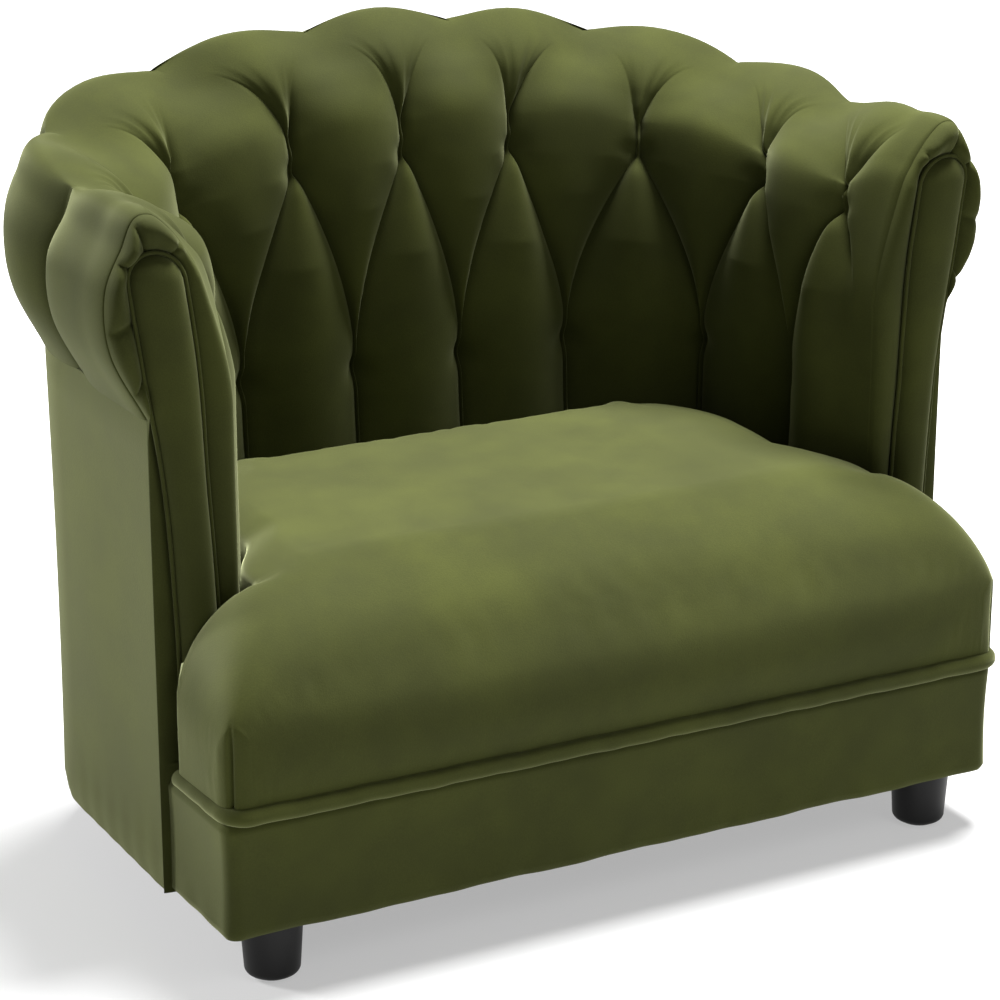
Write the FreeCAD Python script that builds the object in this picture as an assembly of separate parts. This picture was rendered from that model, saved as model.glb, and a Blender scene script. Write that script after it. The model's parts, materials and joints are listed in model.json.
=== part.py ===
"""A compact tub sofa: a plywood and timber frame, three tufted pads that roll over its top edge,
a lift-out T-shaped seat cushion with a zipped cover, and four screw-in feet.

Millimetres. +X is the sitter's left-to-right as seen from the front, +Y is towards the back, +Z is up.
The origin is on the floor, at the middle of the overall width and depth.
"""
import FreeCAD
import Part

import math
import os

Vector = FreeCAD.Vector

# Overall sizes
BASE_WIDTH = 920.0
BASE_FRONT_Y = -313.0
PANEL_HALF_WIDTH = 482.0
PANEL_BACK_Y = 282.0
PANEL_CORNER = 200.0
ARM_FRONT_Y = -168.0
BACK_TOP = 882.0
ARM_TOP = 790.0
RISE_END = 572.0

# Heights of the base
FOOT_HEIGHT = 64.0
RAIL_BOTTOM = 66.0
RAIL_HEIGHT = 104.0
RAIL_THICKNESS = 25.0
RETURN_BACK_Y = -3.0
BORDER_TOP = 190.0
BORDER_CORNER = 16.0
DECK_TOP = 204.5

# Thin layers and clearances
GAP = 0.3
COVER = 6.0
PLY = 18.0
WEBBING = 2.0
DUST_COVER = 1.5
DUST_INSET = 11.0

# Tufted pads
LOBES_PER_SIDE = 4.5
ARM_PAD_LOBES = 2
TUFT_HALF_WIDTH = 380.0
TUFT_BACK_Y = 221.0
TUFT_CORNER = 190.0
PAD_BOTTOM = 205.0
BACK_TUFT_DROP = 154.0
ARM_TUFT_DROP = 105.0
LOWER_TUFT_Z = 480.0
UPPER_TUFT_DEPTH = 28.0
LOWER_TUFT_DEPTH = 22.0
CHANNEL_DEPTH = 12.0
BELLY = 4.0
SCALLOP_DROP = 24.0
SCALLOP_INSET = 15.0
SHOULDER_DROP = 38.0
ROLL_DROP = 83.0
ROLL_UNDER_DROP = 144.0
ROLL_BOTTOM_DROP = 213.0
HOLLOW_TOP_DROP = 52.0
HOLLOW_OUT_DROP = 112.0
HOLLOW_END_DROP = 198.0
RIB_SLACK = 8.0

# Outlines of the pads, each by how far it lies outside the tufts: at the arms, at the back, in corner radius
FACE_LOW_OUT = (-32.0, -34.0, -28.0)
FACE_HIGH_OUT = (-28.0, -28.0, -24.0)
THROAT_OUT = (6.0, 0.0, -4.0)
PAD_BACK_OUT = (12.0, 12.0, 0.0)

# Outlines of the roll, each by how far it lies outside the panel in the same three ways
CREST_OUT = (-5.0, 9.0, 11.0)
SHOULDER_OUT = (25.0, 34.0, 40.0)
ROLL_OUT = (43.0, 41.0, 62.0)
ROLL_UNDER_OUT = (38.0, 27.0, 45.0)
ROLL_END_OUT = (3.0, 3.0, 3.0)
HOLLOW_TOP_OUT = (-18.0, -8.0, 5.0)
HOLLOW_BULGE_OUT = (14.0, 14.0, 20.0)
HOLLOW_END_OUT = (-7.0, -7.0, -7.0)

# Seat cushion
CUSHION_FRONT_Y = -323.0
CUSHION_BACK_Y = 180.0
CUSHION_HALF_WIDTH = 341.0
CUSHION_CORNER = 155.0
EAR_HALF_WIDTH = 460.0
EAR_BACK_Y = -192.5
CUSHION_BOTTOM = 211.0
CUSHION_TOP = 412.0
CUSHION_FRONT_ROUND = 120.0
CUSHION_WALL = 15.0
CUSHION_CLOTH = 6.0
UNDERSIDE_SIDE_INSET = 26.0
UNDERSIDE_FRONT_INSET = 40.0
WELT_DIAMETER = 17.4
WELT_CORNER = 45.0

# Arm fronts and the facings on them
ARM_FRONT_PAD = 10.0
FACING_HALF_WIDTH = 25.0
FACING_TOP = 737.0
FACING_TOP_X = 462.0
FACING_BOTTOM_X = 430.0
FACING_THICKNESS = 12.0
PIPING_DIAMETER = 7.0

# Feet
FOOT_TOP_DIAMETER = 66.0
FOOT_BOTTOM_DIAMETER = 58.0
FOOT_EDGE = 8.0
FOOT_INSET_X = 20.0
FOOT_INSET_Y = 44.0
REAR_FOOT_INSET_X = 110.0
REAR_FOOT_INSET_Y = 100.0
GLIDE_DIAMETER = 40.0
GLIDE_HEIGHT = 2.0
BOLT_DIAMETER = 8.0
BOLT_LENGTH = 72.0
NUT_FLANGE = 22.0
NUT_BARREL = 11.0
NUT_HEIGHT = 10.0
BLOCK_SIZE = 80.0
BLOCK_HEIGHT = 40.0

# Zip in the underside of the cushion cover
ZIP_LENGTH = 430.0
ZIP_WIDTH = 24.0
ZIP_Y = 97.0
ZIP_TAPE = 1.2
ZIP_END = 15.0
SLIDER_LENGTH = 14.0
SLIDER_WIDTH = 9.0
SLIDER_HEIGHT = 3.6

# Seat suspension and the rail round the back
STRAP_WIDTH = 50.0
STRAP_PITCH = 155.0
CROSS_STRAP_PLACES = (75.0, 195.0, 253.0)
DECK_SIDE_INSET = 24.0
DECK_FRONT_INSET = 32.0
MID_RAIL_BOTTOM = 420.0
MID_RAIL_DEPTH = 20.0

RAIL_TOP = RAIL_BOTTOM + RAIL_HEIGHT


class Horseshoe:
    """A plan outline: a straight back, two round corners and two straight arms running forwards."""

    def __init__(self, half_width, back_y, corner):
        self.half_width = half_width
        self.back_y = back_y
        self.corner = corner
        self.centre_x = half_width - corner
        self.centre_y = back_y - corner

    def frame_at(self, along):
        """The point and outward direction at a distance along the outline from the middle of the back."""
        side = -1.0 if along < 0 else 1.0
        left = abs(along)
        quarter = self.corner * math.pi / 2
        if left <= self.centre_x:
            x, y, nx, ny = left, self.back_y, 0.0, 1.0
        elif left <= self.centre_x + quarter:
            turn = (left - self.centre_x) / self.corner
            nx, ny = math.sin(turn), math.cos(turn)
            x, y = self.centre_x + self.corner * nx, self.centre_y + self.corner * ny
        else:
            x, y = self.half_width, self.centre_y - (left - self.centre_x - quarter)
            nx, ny = 1.0, 0.0
        return Vector(side * x, y, 0), Vector(side * nx, ny, 0)

    def grown(self, out):
        """Another horseshoe, moved out at the arms and at the back, with its corner radius changed."""
        return Horseshoe(self.half_width + out[0], self.back_y + out[1], self.corner + out[2])

    def half_length(self, front_y):
        return self.centre_x + self.corner * math.pi / 2 + self.centre_y - front_y

    def reach(self, point, outward):
        """How far from a point, along its outward direction, this outline lies."""
        px, nx = abs(point.x), abs(outward.x)
        py, ny = point.y, outward.y
        found = []
        if ny > 1e-9:
            step = (self.back_y - py) / ny
            if px + step * nx <= self.centre_x + 1e-6:
                found.append(step)
        if nx > 1e-9:
            step = (self.half_width - px) / nx
            if py + step * ny <= self.centre_y + 1e-6:
                found.append(step)
        dx, dy = px - self.centre_x, py - self.centre_y
        half = dx * nx + dy * ny
        root = half * half - (dx * dx + dy * dy - self.corner * self.corner)
        if root >= 0:
            step = -half + math.sqrt(root)
            if px + step * nx >= self.centre_x - 1e-6 and py + step * ny >= self.centre_y - 1e-6:
                found.append(step)
        return min(found, key=abs)

    def edges(self, front_y, z, inset=0.0):
        """The open outline's edges at one height, from the left arm's front to the right arm's front."""
        x, y, r = self.half_width - inset, self.back_y - inset, self.corner - inset
        cx, cy = self.centre_x, self.centre_y
        near = r * math.sqrt(0.5)
        return [
            line((-x, front_y, z), (-x, cy, z)),
            arc((-x, cy, z), (-cx - near, cy + near, z), (-cx, y, z)),
            line((-cx, y, z), (cx, y, z)),
            arc((cx, y, z), (cx + near, cy + near, z), (x, cy, z)),
            line((x, cy, z), (x, front_y, z)),
        ]


def line(start, end):
    return Part.LineSegment(Vector(*start), Vector(*end)).toShape()


def arc(start, middle, end):
    return Part.Arc(Vector(*start), Vector(*middle), Vector(*end)).toShape()


def box(x0, x1, y0, y1, z0, z1):
    return Part.makeBox(x1 - x0, y1 - y0, z1 - z0, Vector(x0, y0, z0))


def upright(x, y, z0, z1, radius):
    return Part.makeCylinder(radius, z1 - z0, Vector(x, y, z0))


def horseshoe_plate(outline, outer_inset, inner_inset, front_y, z0, z1):
    """A horseshoe-shaped ring between two insets of an outline, extruded between two heights."""
    outer = outline.edges(front_y, z0, outer_inset)
    inner = outline.edges(front_y, z0, inner_inset)
    ends = [
        line(tuple(outer[-1].Vertexes[-1].Point), tuple(inner[-1].Vertexes[-1].Point)),
        line(tuple(inner[0].Vertexes[0].Point), tuple(outer[0].Vertexes[0].Point)),
    ]
    wire = Part.Wire(Part.__sortEdges__(outer + [ends[0]] + inner + [ends[1]]))
    return Part.Face(wire).extrude(Vector(0, 0, z1 - z0))


def prism(points, along):
    """A flat polygon through the points, extruded along a vector."""
    wire = Part.makePolygon([Vector(*p) for p in points] + [Vector(*points[0])])
    return Part.Face(wire).extrude(Vector(*along))


def tube(edges, diameter):
    """A round tube along a chain of lines and arcs."""
    path = Part.Wire(edges)
    start = edges[0].Vertexes[0].Point
    heading = edges[0].tangentAt(edges[0].FirstParameter)
    section = Part.Wire([Part.makeCircle(diameter / 2, start, heading)])
    return path.makePipeShell([section], True, False)


def mirror(shape):
    return shape.mirror(Vector(0, 0, 0), Vector(1, 0, 0))


# Outlines that the frame, the panel and the pads share
TUFTS = Horseshoe(TUFT_HALF_WIDTH, TUFT_BACK_Y, TUFT_CORNER)
PANEL = Horseshoe(PANEL_HALF_WIDTH, PANEL_BACK_Y, PANEL_CORNER)
HALF_RUN = TUFTS.half_length(ARM_FRONT_Y)
LOBE_PITCH = HALF_RUN / LOBES_PER_SIDE
PAD_FACE_LOW = TUFTS.grown(FACE_LOW_OUT)
PAD_FACE_HIGH = TUFTS.grown(FACE_HIGH_OUT)
THROAT = TUFTS.grown(THROAT_OUT)
PAD_BACK = TUFTS.grown(PAD_BACK_OUT)
CREST = PANEL.grown(CREST_OUT)
SHOULDER = PANEL.grown(SHOULDER_OUT)
ROLL = PANEL.grown(ROLL_OUT)
ROLL_UNDER = PANEL.grown(ROLL_UNDER_OUT)
ROLL_END = PANEL.grown(ROLL_END_OUT)
HOLLOW_TOP = PANEL.grown(HOLLOW_TOP_OUT)
HOLLOW_OUT = PANEL.grown(HOLLOW_BULGE_OUT)
HOLLOW_END = PANEL.grown(HOLLOW_END_OUT)
CUSHION = Horseshoe(CUSHION_HALF_WIDTH, CUSHION_BACK_Y, CUSHION_CORNER)


def rise(along):
    """1 at the middle of the back, easing to 0 on the arms."""
    share = min(1.0, abs(along) / RISE_END)
    return 0.5 * (1 + math.cos(math.pi * share))


def rim_height(along):
    """Height of the rolled top edge: highest at the middle of the back, easing down to the arms."""
    return ARM_TOP + (BACK_TOP - ARM_TOP) * rise(along)


def upper_tuft_height(along):
    drop = ARM_TUFT_DROP + (BACK_TUFT_DROP - ARM_TUFT_DROP) * rise(along)
    return rim_height(along) - drop


def pleat_lines():
    """Distances along the tuft outline of the pleats between the lobes, and of the two arm fronts."""
    count = int(2 * LOBES_PER_SIDE)
    return [-HALF_RUN + LOBE_PITCH * n for n in range(count + 1)]


def section_frame(along):
    """Where an upright section of the pads crosses the tufts, and its direction out to the roll.
    Tufts and roll are shared out in equal steps, so the lobes stay even round the corners."""
    origin = TUFTS.frame_at(along)[0]
    stretch = ROLL.half_length(ARM_FRONT_Y) / HALF_RUN
    outward = ROLL.frame_at(along * stretch)[0] - origin
    outward.normalize()
    return origin, outward


def on_section(along, outline, z, push=0.0):
    """A point on the pads' section where it meets an outline."""
    origin, outward = section_frame(along)
    distance = outline.reach(origin, outward) + push
    return (origin.x + outward.x * distance, origin.y + outward.y * distance, z)


def pad_section(along, swell, tuft):
    """One closed section of the pads.
    swell is 0 on a pleat and 1 in the middle of a lobe; tuft is 1 where the upper row is sewn in."""
    rim = rim_height(along)
    upper = upper_tuft_height(along)
    sunk = 1.0 - swell
    dimple = tuft * UPPER_TUFT_DEPTH
    low_dimple = sunk * LOWER_TUFT_DEPTH
    drop = sunk * SCALLOP_DROP
    tuck = sunk * SCALLOP_INSET
    belly_push = (dimple + low_dimple) / 2 - BELLY
    throat_drop = (rim - upper) * 0.4
    foot_in = on_section(along, PAD_FACE_LOW, PAD_BOTTOM, sunk * CHANNEL_DEPTH)
    low_tuft = on_section(along, PAD_FACE_LOW, LOWER_TUFT_Z, low_dimple)
    belly = on_section(along, PAD_FACE_LOW, (upper + LOWER_TUFT_Z) / 2, belly_push)
    high_tuft = on_section(along, PAD_FACE_HIGH, upper, dimple)
    throat = on_section(along, THROAT, rim - throat_drop - drop, dimple * 0.45)
    crest = on_section(along, CREST, rim - drop)
    shoulder = on_section(along, SHOULDER, rim - SHOULDER_DROP - drop / 2, -tuck * 0.7)
    roll = on_section(along, ROLL, rim - ROLL_DROP, -tuck)
    under = on_section(along, ROLL_UNDER, rim - ROLL_UNDER_DROP, -tuck * 0.6)
    end = on_section(along, ROLL_END, rim - ROLL_BOTTOM_DROP)
    hollow_end = on_section(along, HOLLOW_END, rim - HOLLOW_END_DROP)
    hollow_out = on_section(along, HOLLOW_OUT, rim - HOLLOW_OUT_DROP)
    hollow_top = on_section(along, HOLLOW_TOP, rim - HOLLOW_TOP_DROP)
    back_high = on_section(along, PAD_BACK, upper)
    back_low = on_section(along, PAD_BACK, PAD_BOTTOM)
    return Part.Wire([
        line(foot_in, low_tuft),
        arc(low_tuft, belly, high_tuft),
        arc(high_tuft, throat, crest),
        arc(crest, shoulder, roll),
        arc(roll, under, end),
        line(end, hollow_end),
        arc(hollow_end, hollow_out, hollow_top),
        line(hollow_top, back_high),
        line(back_high, back_low),
        line(back_low, foot_in),
    ])


def pad_lobe(start, end):
    """One stuffed lobe between two pleats."""
    steps = 4
    sections = []
    for n in range(steps + 1):
        share = n / steps
        swell = math.sin(math.pi * share) ** 0.7
        tuft = 1.0 - abs(math.cos(math.pi * share))
        sections.append(pad_section(start + (end - start) * share, swell, tuft))
    return Part.makeLoft(sections, True, False)


def pads():
    """The left arm, back and right arm pads, each a row of lobes sewn along the pleats."""
    lines = pleat_lines()
    lobes = [pad_lobe(a, b) for a, b in zip(lines, lines[1:])]
    left = lobes[0].fuse(lobes[1:ARM_PAD_LOBES])
    back = lobes[ARM_PAD_LOBES].fuse(lobes[ARM_PAD_LOBES + 1:-ARM_PAD_LOBES])
    return {"left_arm_pad": left, "back_pad": back, "right_arm_pad": mirror(left)}


def rib(along):
    """An upright plywood rib whose head fills the roll of the pads, standing on the rails."""
    rim = rim_height(along)
    wall = COVER + 1.0
    shoulder_z = rim - ROLL_BOTTOM_DROP - RIB_SLACK
    points = [
        on_section(along, PAD_BACK, RAIL_TOP + GAP, 2.0),
        on_section(along, PAD_BACK, upper_tuft_height(along) - RIB_SLACK, 2.0),
        on_section(along, HOLLOW_TOP, rim - HOLLOW_TOP_DROP - 2 * RIB_SLACK, 2.0),
        on_section(along, HOLLOW_OUT, rim - HOLLOW_OUT_DROP, -2 * RIB_SLACK),
        on_section(along, HOLLOW_END, rim - HOLLOW_END_DROP, -RIB_SLACK),
        on_section(along, PANEL, shoulder_z, -wall),
        on_section(along, PANEL, RAIL_TOP + GAP, -wall),
    ]
    outward = section_frame(along)[1]
    side = Vector(-outward.y, outward.x, 0)
    plate = prism(points, tuple(side * PLY))
    plate.translate(side * (-PLY / 2))
    notch = horseshoe_plate(PANEL, 0.0, COVER + MID_RAIL_DEPTH + 2 * GAP, ARM_FRONT_Y,
                            MID_RAIL_BOTTOM - GAP, MID_RAIL_BOTTOM + PLY + GAP)
    outside = horseshoe_plate(PANEL, -PLY, COVER + GAP, ARM_FRONT_Y - PLY, 0.0,
                              rim - ROLL_BOTTOM_DROP + RIB_SLACK / 2)
    pad_room = Part.Face(closed_outline(PAD_BACK, ARM_FRONT_Y - PLY, RAIL_TOP, -2.0))
    pad_room = pad_room.extrude(Vector(0, 0, upper_tuft_height(along) - RIB_SLACK - RAIL_TOP))
    return plate.cut(notch).cut(outside).cut(pad_room)


def arm_stump():
    """The plywood upright behind the right arm's facing."""
    return rib(HALF_RUN - PLY / 2 - GAP)


def outer_cover():
    """The plain board and cloth round the outside of the arms and back, up to the roll."""
    steps = 12
    plain = horseshoe_plate(PANEL, 0.0, COVER, ARM_FRONT_Y, FOOT_HEIGHT, BACK_TOP)
    sections = []
    for n in range(-steps, steps + 1):
        along = HALF_RUN * n / steps
        top = rim_height(along) - ROLL_BOTTOM_DROP - GAP
        corners = [on_section(along, PANEL, z, push) for push, z in ((-60, 0), (60, 0), (60, top), (-60, top))]
        sections.append(Part.makePolygon([Vector(*c) for c in corners] + [Vector(*corners[0])]))
    return plain.common(Part.makeLoft(sections, True, True))


def return_rail_out():
    """Outer face of the return rails: inside both the side rails and the front border."""
    inside_panel = PANEL_HALF_WIDTH - COVER - 2 * GAP - RAIL_THICKNESS
    inside_border = BASE_WIDTH / 2 - COVER - GAP
    return min(inside_panel, inside_border)


def rails():
    """The base: front rail, returns, side rails, a bent rear rail, a spreader and blocks for the feet."""
    z0, z1 = RAIL_BOTTOM, RAIL_TOP
    t = RAIL_THICKNESS
    half = BASE_WIDTH / 2 - BORDER_CORNER
    front = BASE_FRONT_Y + COVER + GAP
    side_out = PANEL_HALF_WIDTH - COVER - GAP
    side_in = side_out - t
    rear_start = PANEL.centre_y - 5.0
    return_out = return_rail_out()
    side = box(side_in, side_out, ARM_FRONT_Y + GAP, rear_start - GAP, z0, z1)
    back = box(return_out - t, return_out, front + t + GAP, RETURN_BACK_Y, z0, z1)
    spreader_back = PANEL_BACK_Y - COVER - 2 * GAP - t
    return {
        "front_rail": box(-half, half, front, front + t, z0, z1),
        "left_side_rail": mirror(side),
        "right_side_rail": side,
        "left_return_rail": mirror(back),
        "right_return_rail": back,
        "rear_rail": horseshoe_plate(PANEL, COVER + GAP, COVER + GAP + t, rear_start, z0, z1),
        "seat_spreader": box(-t, t, front + t + GAP, spreader_back, z0, z0 + 0.6 * RAIL_HEIGHT),
    }


def foot_places():
    front_x = return_rail_out() - RAIL_THICKNESS - FOOT_INSET_X
    front_y = BASE_FRONT_Y + FOOT_INSET_Y
    rear_x = PANEL_HALF_WIDTH - REAR_FOOT_INSET_X
    rear_y = PANEL_BACK_Y - REAR_FOOT_INSET_Y
    return {
        "front_left": (-front_x, front_y),
        "front_right": (front_x, front_y),
        "rear_left": (-rear_x, rear_y),
        "rear_right": (rear_x, rear_y),
    }


def feet():
    """Tapered feet, each screwed up into a nut in a corner block, with a glide under it."""
    made = {}
    blocks, glides, bolts, nuts = [], [], [], []
    top, low = FOOT_TOP_DIAMETER / 2, FOOT_BOTTOM_DIAMETER / 2
    bolt_top = RAIL_BOTTOM + BLOCK_HEIGHT + 4.0
    hole = BOLT_DIAMETER / 2 + 0.2
    inside = Part.Face(closed_outline(PANEL, BASE_FRONT_Y, RAIL_BOTTOM, COVER + 2 * GAP + RAIL_THICKNESS))
    inside = inside.extrude(Vector(0, 0, BLOCK_HEIGHT))
    for name, (x, y) in foot_places().items():
        foot = Part.makeCone(low, top, FOOT_HEIGHT - GLIDE_HEIGHT, Vector(x, y, GLIDE_HEIGHT))
        rims = [e for e in foot.Edges if len(e.Vertexes) == 1 and e.BoundBox.ZMax < GLIDE_HEIGHT + 1]
        foot = foot.makeFillet(FOOT_EDGE, rims)
        bolt_foot = bolt_top - BOLT_LENGTH
        made["foot_" + name] = foot.cut(upright(x, y, bolt_foot - GAP, FOOT_HEIGHT + 1, hole))
        glides.append(upright(x, y, 0.0, GLIDE_HEIGHT, GLIDE_DIAMETER / 2))
        bolts.append(upright(x, y, bolt_foot, bolt_top, BOLT_DIAMETER / 2))
        reach_x = BLOCK_SIZE / 2 if y > 0 else FOOT_INSET_X - GAP
        side = 1.0 if x > 0 else -1.0
        x0, x1 = sorted((x - side * BLOCK_SIZE * 0.6, x + side * reach_x))
        y0, y1 = y - BLOCK_SIZE * 0.5, y + BLOCK_SIZE * 0.6
        if y < 0:
            y0, y1 = BASE_FRONT_Y + COVER + RAIL_THICKNESS + 2 * GAP, y + BLOCK_SIZE * 0.8
        block = box(x0, x1, y0, y1, RAIL_BOTTOM, RAIL_BOTTOM + BLOCK_HEIGHT).common(inside)
        block = block.cut(upright(x, y, RAIL_BOTTOM - 1, bolt_top + 1, NUT_BARREL / 2 + 0.2))
        blocks.append(block)
        block_top = RAIL_BOTTOM + BLOCK_HEIGHT
        nut = upright(x, y, block_top - NUT_HEIGHT, block_top + 0.1, NUT_BARREL / 2)
        nut = nut.fuse(upright(x, y, block_top + 0.1, block_top + 2.1, NUT_FLANGE / 2))
        nuts.append(nut.cut(upright(x, y, 0.0, bolt_top + 5, hole)))
    made["corner_blocks"] = Part.makeCompound(blocks)
    made["foot_glides"] = Part.makeCompound(glides)
    made["foot_bolts"] = Part.makeCompound(bolts)
    made["foot_nuts"] = Part.makeCompound(nuts)
    return made


def closed_outline(outline, front_y, z, inset):
    """A horseshoe closed by a straight line across its front."""
    edges = outline.edges(front_y, z, inset)
    start = tuple(edges[0].Vertexes[0].Point)
    end = tuple(edges[-1].Vertexes[-1].Point)
    return Part.Wire(Part.__sortEdges__(edges + [line(end, start)]))


def t_plate(outline, inset, half_width, front_y, neck_y, z0, z1):
    """A T-shaped plate: a wide bar across the front and a horseshoe behind it."""
    stem = Part.Face(closed_outline(outline, front_y + 20.0, z0, inset)).extrude(Vector(0, 0, z1 - z0))
    bar = box(-half_width, half_width, front_y, neck_y, z0, z1)
    return bar.fuse(stem).removeSplitter()


def base_skin():
    """The front border, the deck, the seat straps and the cloth under the base."""
    w = BASE_WIDTH / 2
    outer = front_band(w, BASE_FRONT_Y, BORDER_CORNER)
    inner = front_band(w - COVER, BASE_FRONT_Y + COVER, BORDER_CORNER - COVER)
    back_y = ARM_FRONT_Y - GAP
    joins = [line((w, back_y, FOOT_HEIGHT), (w - COVER, back_y, FOOT_HEIGHT))]
    joins.append(line((-w, back_y, FOOT_HEIGHT), (-w + COVER, back_y, FOOT_HEIGHT)))
    wire = Part.Wire(Part.__sortEdges__(outer + inner + joins))
    border = Part.Face(wire).extrude(Vector(0, 0, BORDER_TOP - FOOT_HEIGHT))
    strap_front = BASE_FRONT_Y + COVER + 2 * GAP + 2.0
    strap_back = PANEL_BACK_Y - COVER - 12.0
    z = RAIL_TOP + GAP
    long_straps = []
    for n in range(-2, 3):
        x = n * STRAP_PITCH
        long_straps.append(box(x - STRAP_WIDTH / 2, x + STRAP_WIDTH / 2, strap_front, strap_back, z, z + WEBBING))
    cross_straps = []
    reach = PANEL_HALF_WIDTH - COVER - RAIL_THICKNESS - 6.0
    for place in CROSS_STRAP_PLACES:
        y = BASE_FRONT_Y + place
        low = z + WEBBING + GAP
        cross_straps.append(box(-reach, reach, y - STRAP_WIDTH / 2, y + STRAP_WIDTH / 2, low, low + WEBBING))
    deck_low = z + 2 * (WEBBING + GAP)
    deck = t_plate(PAD_BACK, 4.0, w - DECK_SIDE_INSET, BASE_FRONT_Y + DECK_FRONT_INSET, ARM_FRONT_Y - 2.0,
                   deck_low, DECK_TOP)
    dust = t_plate(PANEL, COVER + 2.0, w - DUST_INSET, BASE_FRONT_Y + DUST_INSET, ARM_FRONT_Y + 10.0,
                   FOOT_HEIGHT + 0.2, FOOT_HEIGHT + 0.2 + DUST_COVER)
    step = box(w - COVER - 1.0, w + PANEL_HALF_WIDTH, BASE_FRONT_Y - COVER, ARM_FRONT_Y + GAP, 0, RAIL_TOP)
    dust = dust.cut(step).cut(mirror(step))
    for x, y in foot_places().values():
        dust = dust.cut(upright(x, y, 0.0, RAIL_TOP, BOLT_DIAMETER))
    return {
        "base_border": border,
        "seat_straps_long": Part.makeCompound(long_straps),
        "seat_straps_cross": Part.makeCompound(cross_straps),
        "deck_pad": deck,
        "dust_cover": dust,
    }


def front_band(half_width, front_y, corner):
    """The open outline of the border at the base's lower edge: left return, front and right return."""
    z, back_y = FOOT_HEIGHT, ARM_FRONT_Y - GAP
    near = corner * (1 - math.sqrt(0.5))
    x, y = half_width, front_y
    return [
        line((-x, back_y, z), (-x, y + corner, z)),
        arc((-x, y + corner, z), (-x + near, y + near, z), (-x + corner, y, z)),
        line((-x + corner, y, z), (x - corner, y, z)),
        arc((x - corner, y, z), (x - near, y + near, z), (x, y + corner, z)),
        line((x, y + corner, z), (x, back_y, z)),
    ]


def arm_front():
    """The gathered cloth and wadding that close the right arm's front, from the roll down to the base."""
    rim = rim_height(HALF_RUN)
    upper = upper_tuft_height(HALF_RUN)
    along = HALF_RUN
    low_in = on_section(along, PAD_FACE_LOW, PAD_BOTTOM + 1.5, CHANNEL_DEPTH)
    low_tuft = on_section(along, PAD_FACE_LOW, LOWER_TUFT_Z, LOWER_TUFT_DEPTH)
    high = on_section(along, PAD_FACE_HIGH, upper)
    throat = on_section(along, THROAT, rim - (rim - upper) * 0.4 - SCALLOP_DROP)
    crest = on_section(along, CREST, rim - SCALLOP_DROP)
    shoulder = on_section(along, SHOULDER, rim - SHOULDER_DROP - SCALLOP_DROP / 2, -SCALLOP_INSET * 0.7)
    roll = on_section(along, ROLL, rim - ROLL_DROP, -SCALLOP_INSET)
    under = on_section(along, ROLL_UNDER, rim - ROLL_UNDER_DROP, -SCALLOP_INSET * 0.6)
    end = on_section(along, ROLL_END, rim - ROLL_BOTTOM_DROP)
    step_x = BASE_WIDTH / 2 + 1.0
    low_out = (PANEL_HALF_WIDTH, ARM_FRONT_Y, FOOT_HEIGHT)
    toe = (step_x, ARM_FRONT_Y, FOOT_HEIGHT)
    heel = (step_x, ARM_FRONT_Y, PAD_BOTTOM + 1.5)
    wire = Part.Wire([
        line(low_in, low_tuft),
        line(low_tuft, high),
        arc(high, throat, crest),
        arc(crest, shoulder, roll),
        arc(roll, under, end),
        line(end, low_out),
        line(low_out, toe),
        line(toe, heel),
        line(heel, low_in),
    ])
    wire.translate(Vector(0, -GAP, 0))
    return Part.Face(wire).extrude(Vector(0, -ARM_FRONT_PAD, 0))


def facing_outline(y, grow):
    """The facing's sides and round top on the right arm's front, from bottom inside to bottom outside."""
    low = Vector(FACING_BOTTOM_X, y, PAD_BOTTOM + 4.0)
    high = Vector(FACING_TOP_X, y, FACING_TOP - FACING_HALF_WIDTH)
    up = high - low
    up.normalize()
    across = Vector(up.z, 0, -up.x)
    r = FACING_HALF_WIDTH + grow
    diagonal = math.sqrt(0.5) * r
    inside, outside, tip = high - across * r, high + across * r, high + up * r
    first = high + (up - across) * diagonal
    second = high + (up + across) * diagonal
    return [
        line(tuple(low - across * r), tuple(inside)),
        arc(tuple(inside), tuple(first), tuple(tip)),
        arc(tuple(tip), tuple(second), tuple(outside)),
        line(tuple(outside), tuple(low + across * r)),
    ]


def facings():
    """The closed arm fronts and the narrow padded panels on them, with piping round the panels."""
    back_y = ARM_FRONT_Y - ARM_FRONT_PAD - 2 * GAP
    front = arm_front()
    edges = facing_outline(back_y, 0.0)
    closing = line(tuple(edges[-1].Vertexes[-1].Point), tuple(edges[0].Vertexes[0].Point))
    panel = Part.Face(Part.Wire(edges + [closing])).extrude(Vector(0, -FACING_THICKNESS, 0))
    front_edges = [e for e in panel.Edges if e.BoundBox.YMax < back_y - FACING_THICKNESS + 0.01]
    panel = panel.makeFillet(4.0, front_edges)
    radius = PIPING_DIAMETER / 2
    piping = tube(facing_outline(back_y - radius - GAP, radius + 0.2), PIPING_DIAMETER)
    return {
        "left_arm_front": mirror(front),
        "right_arm_front": front,
        "left_facing": mirror(panel),
        "right_facing": panel,
        "left_facing_piping": mirror(piping),
        "right_facing_piping": piping,
    }


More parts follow.
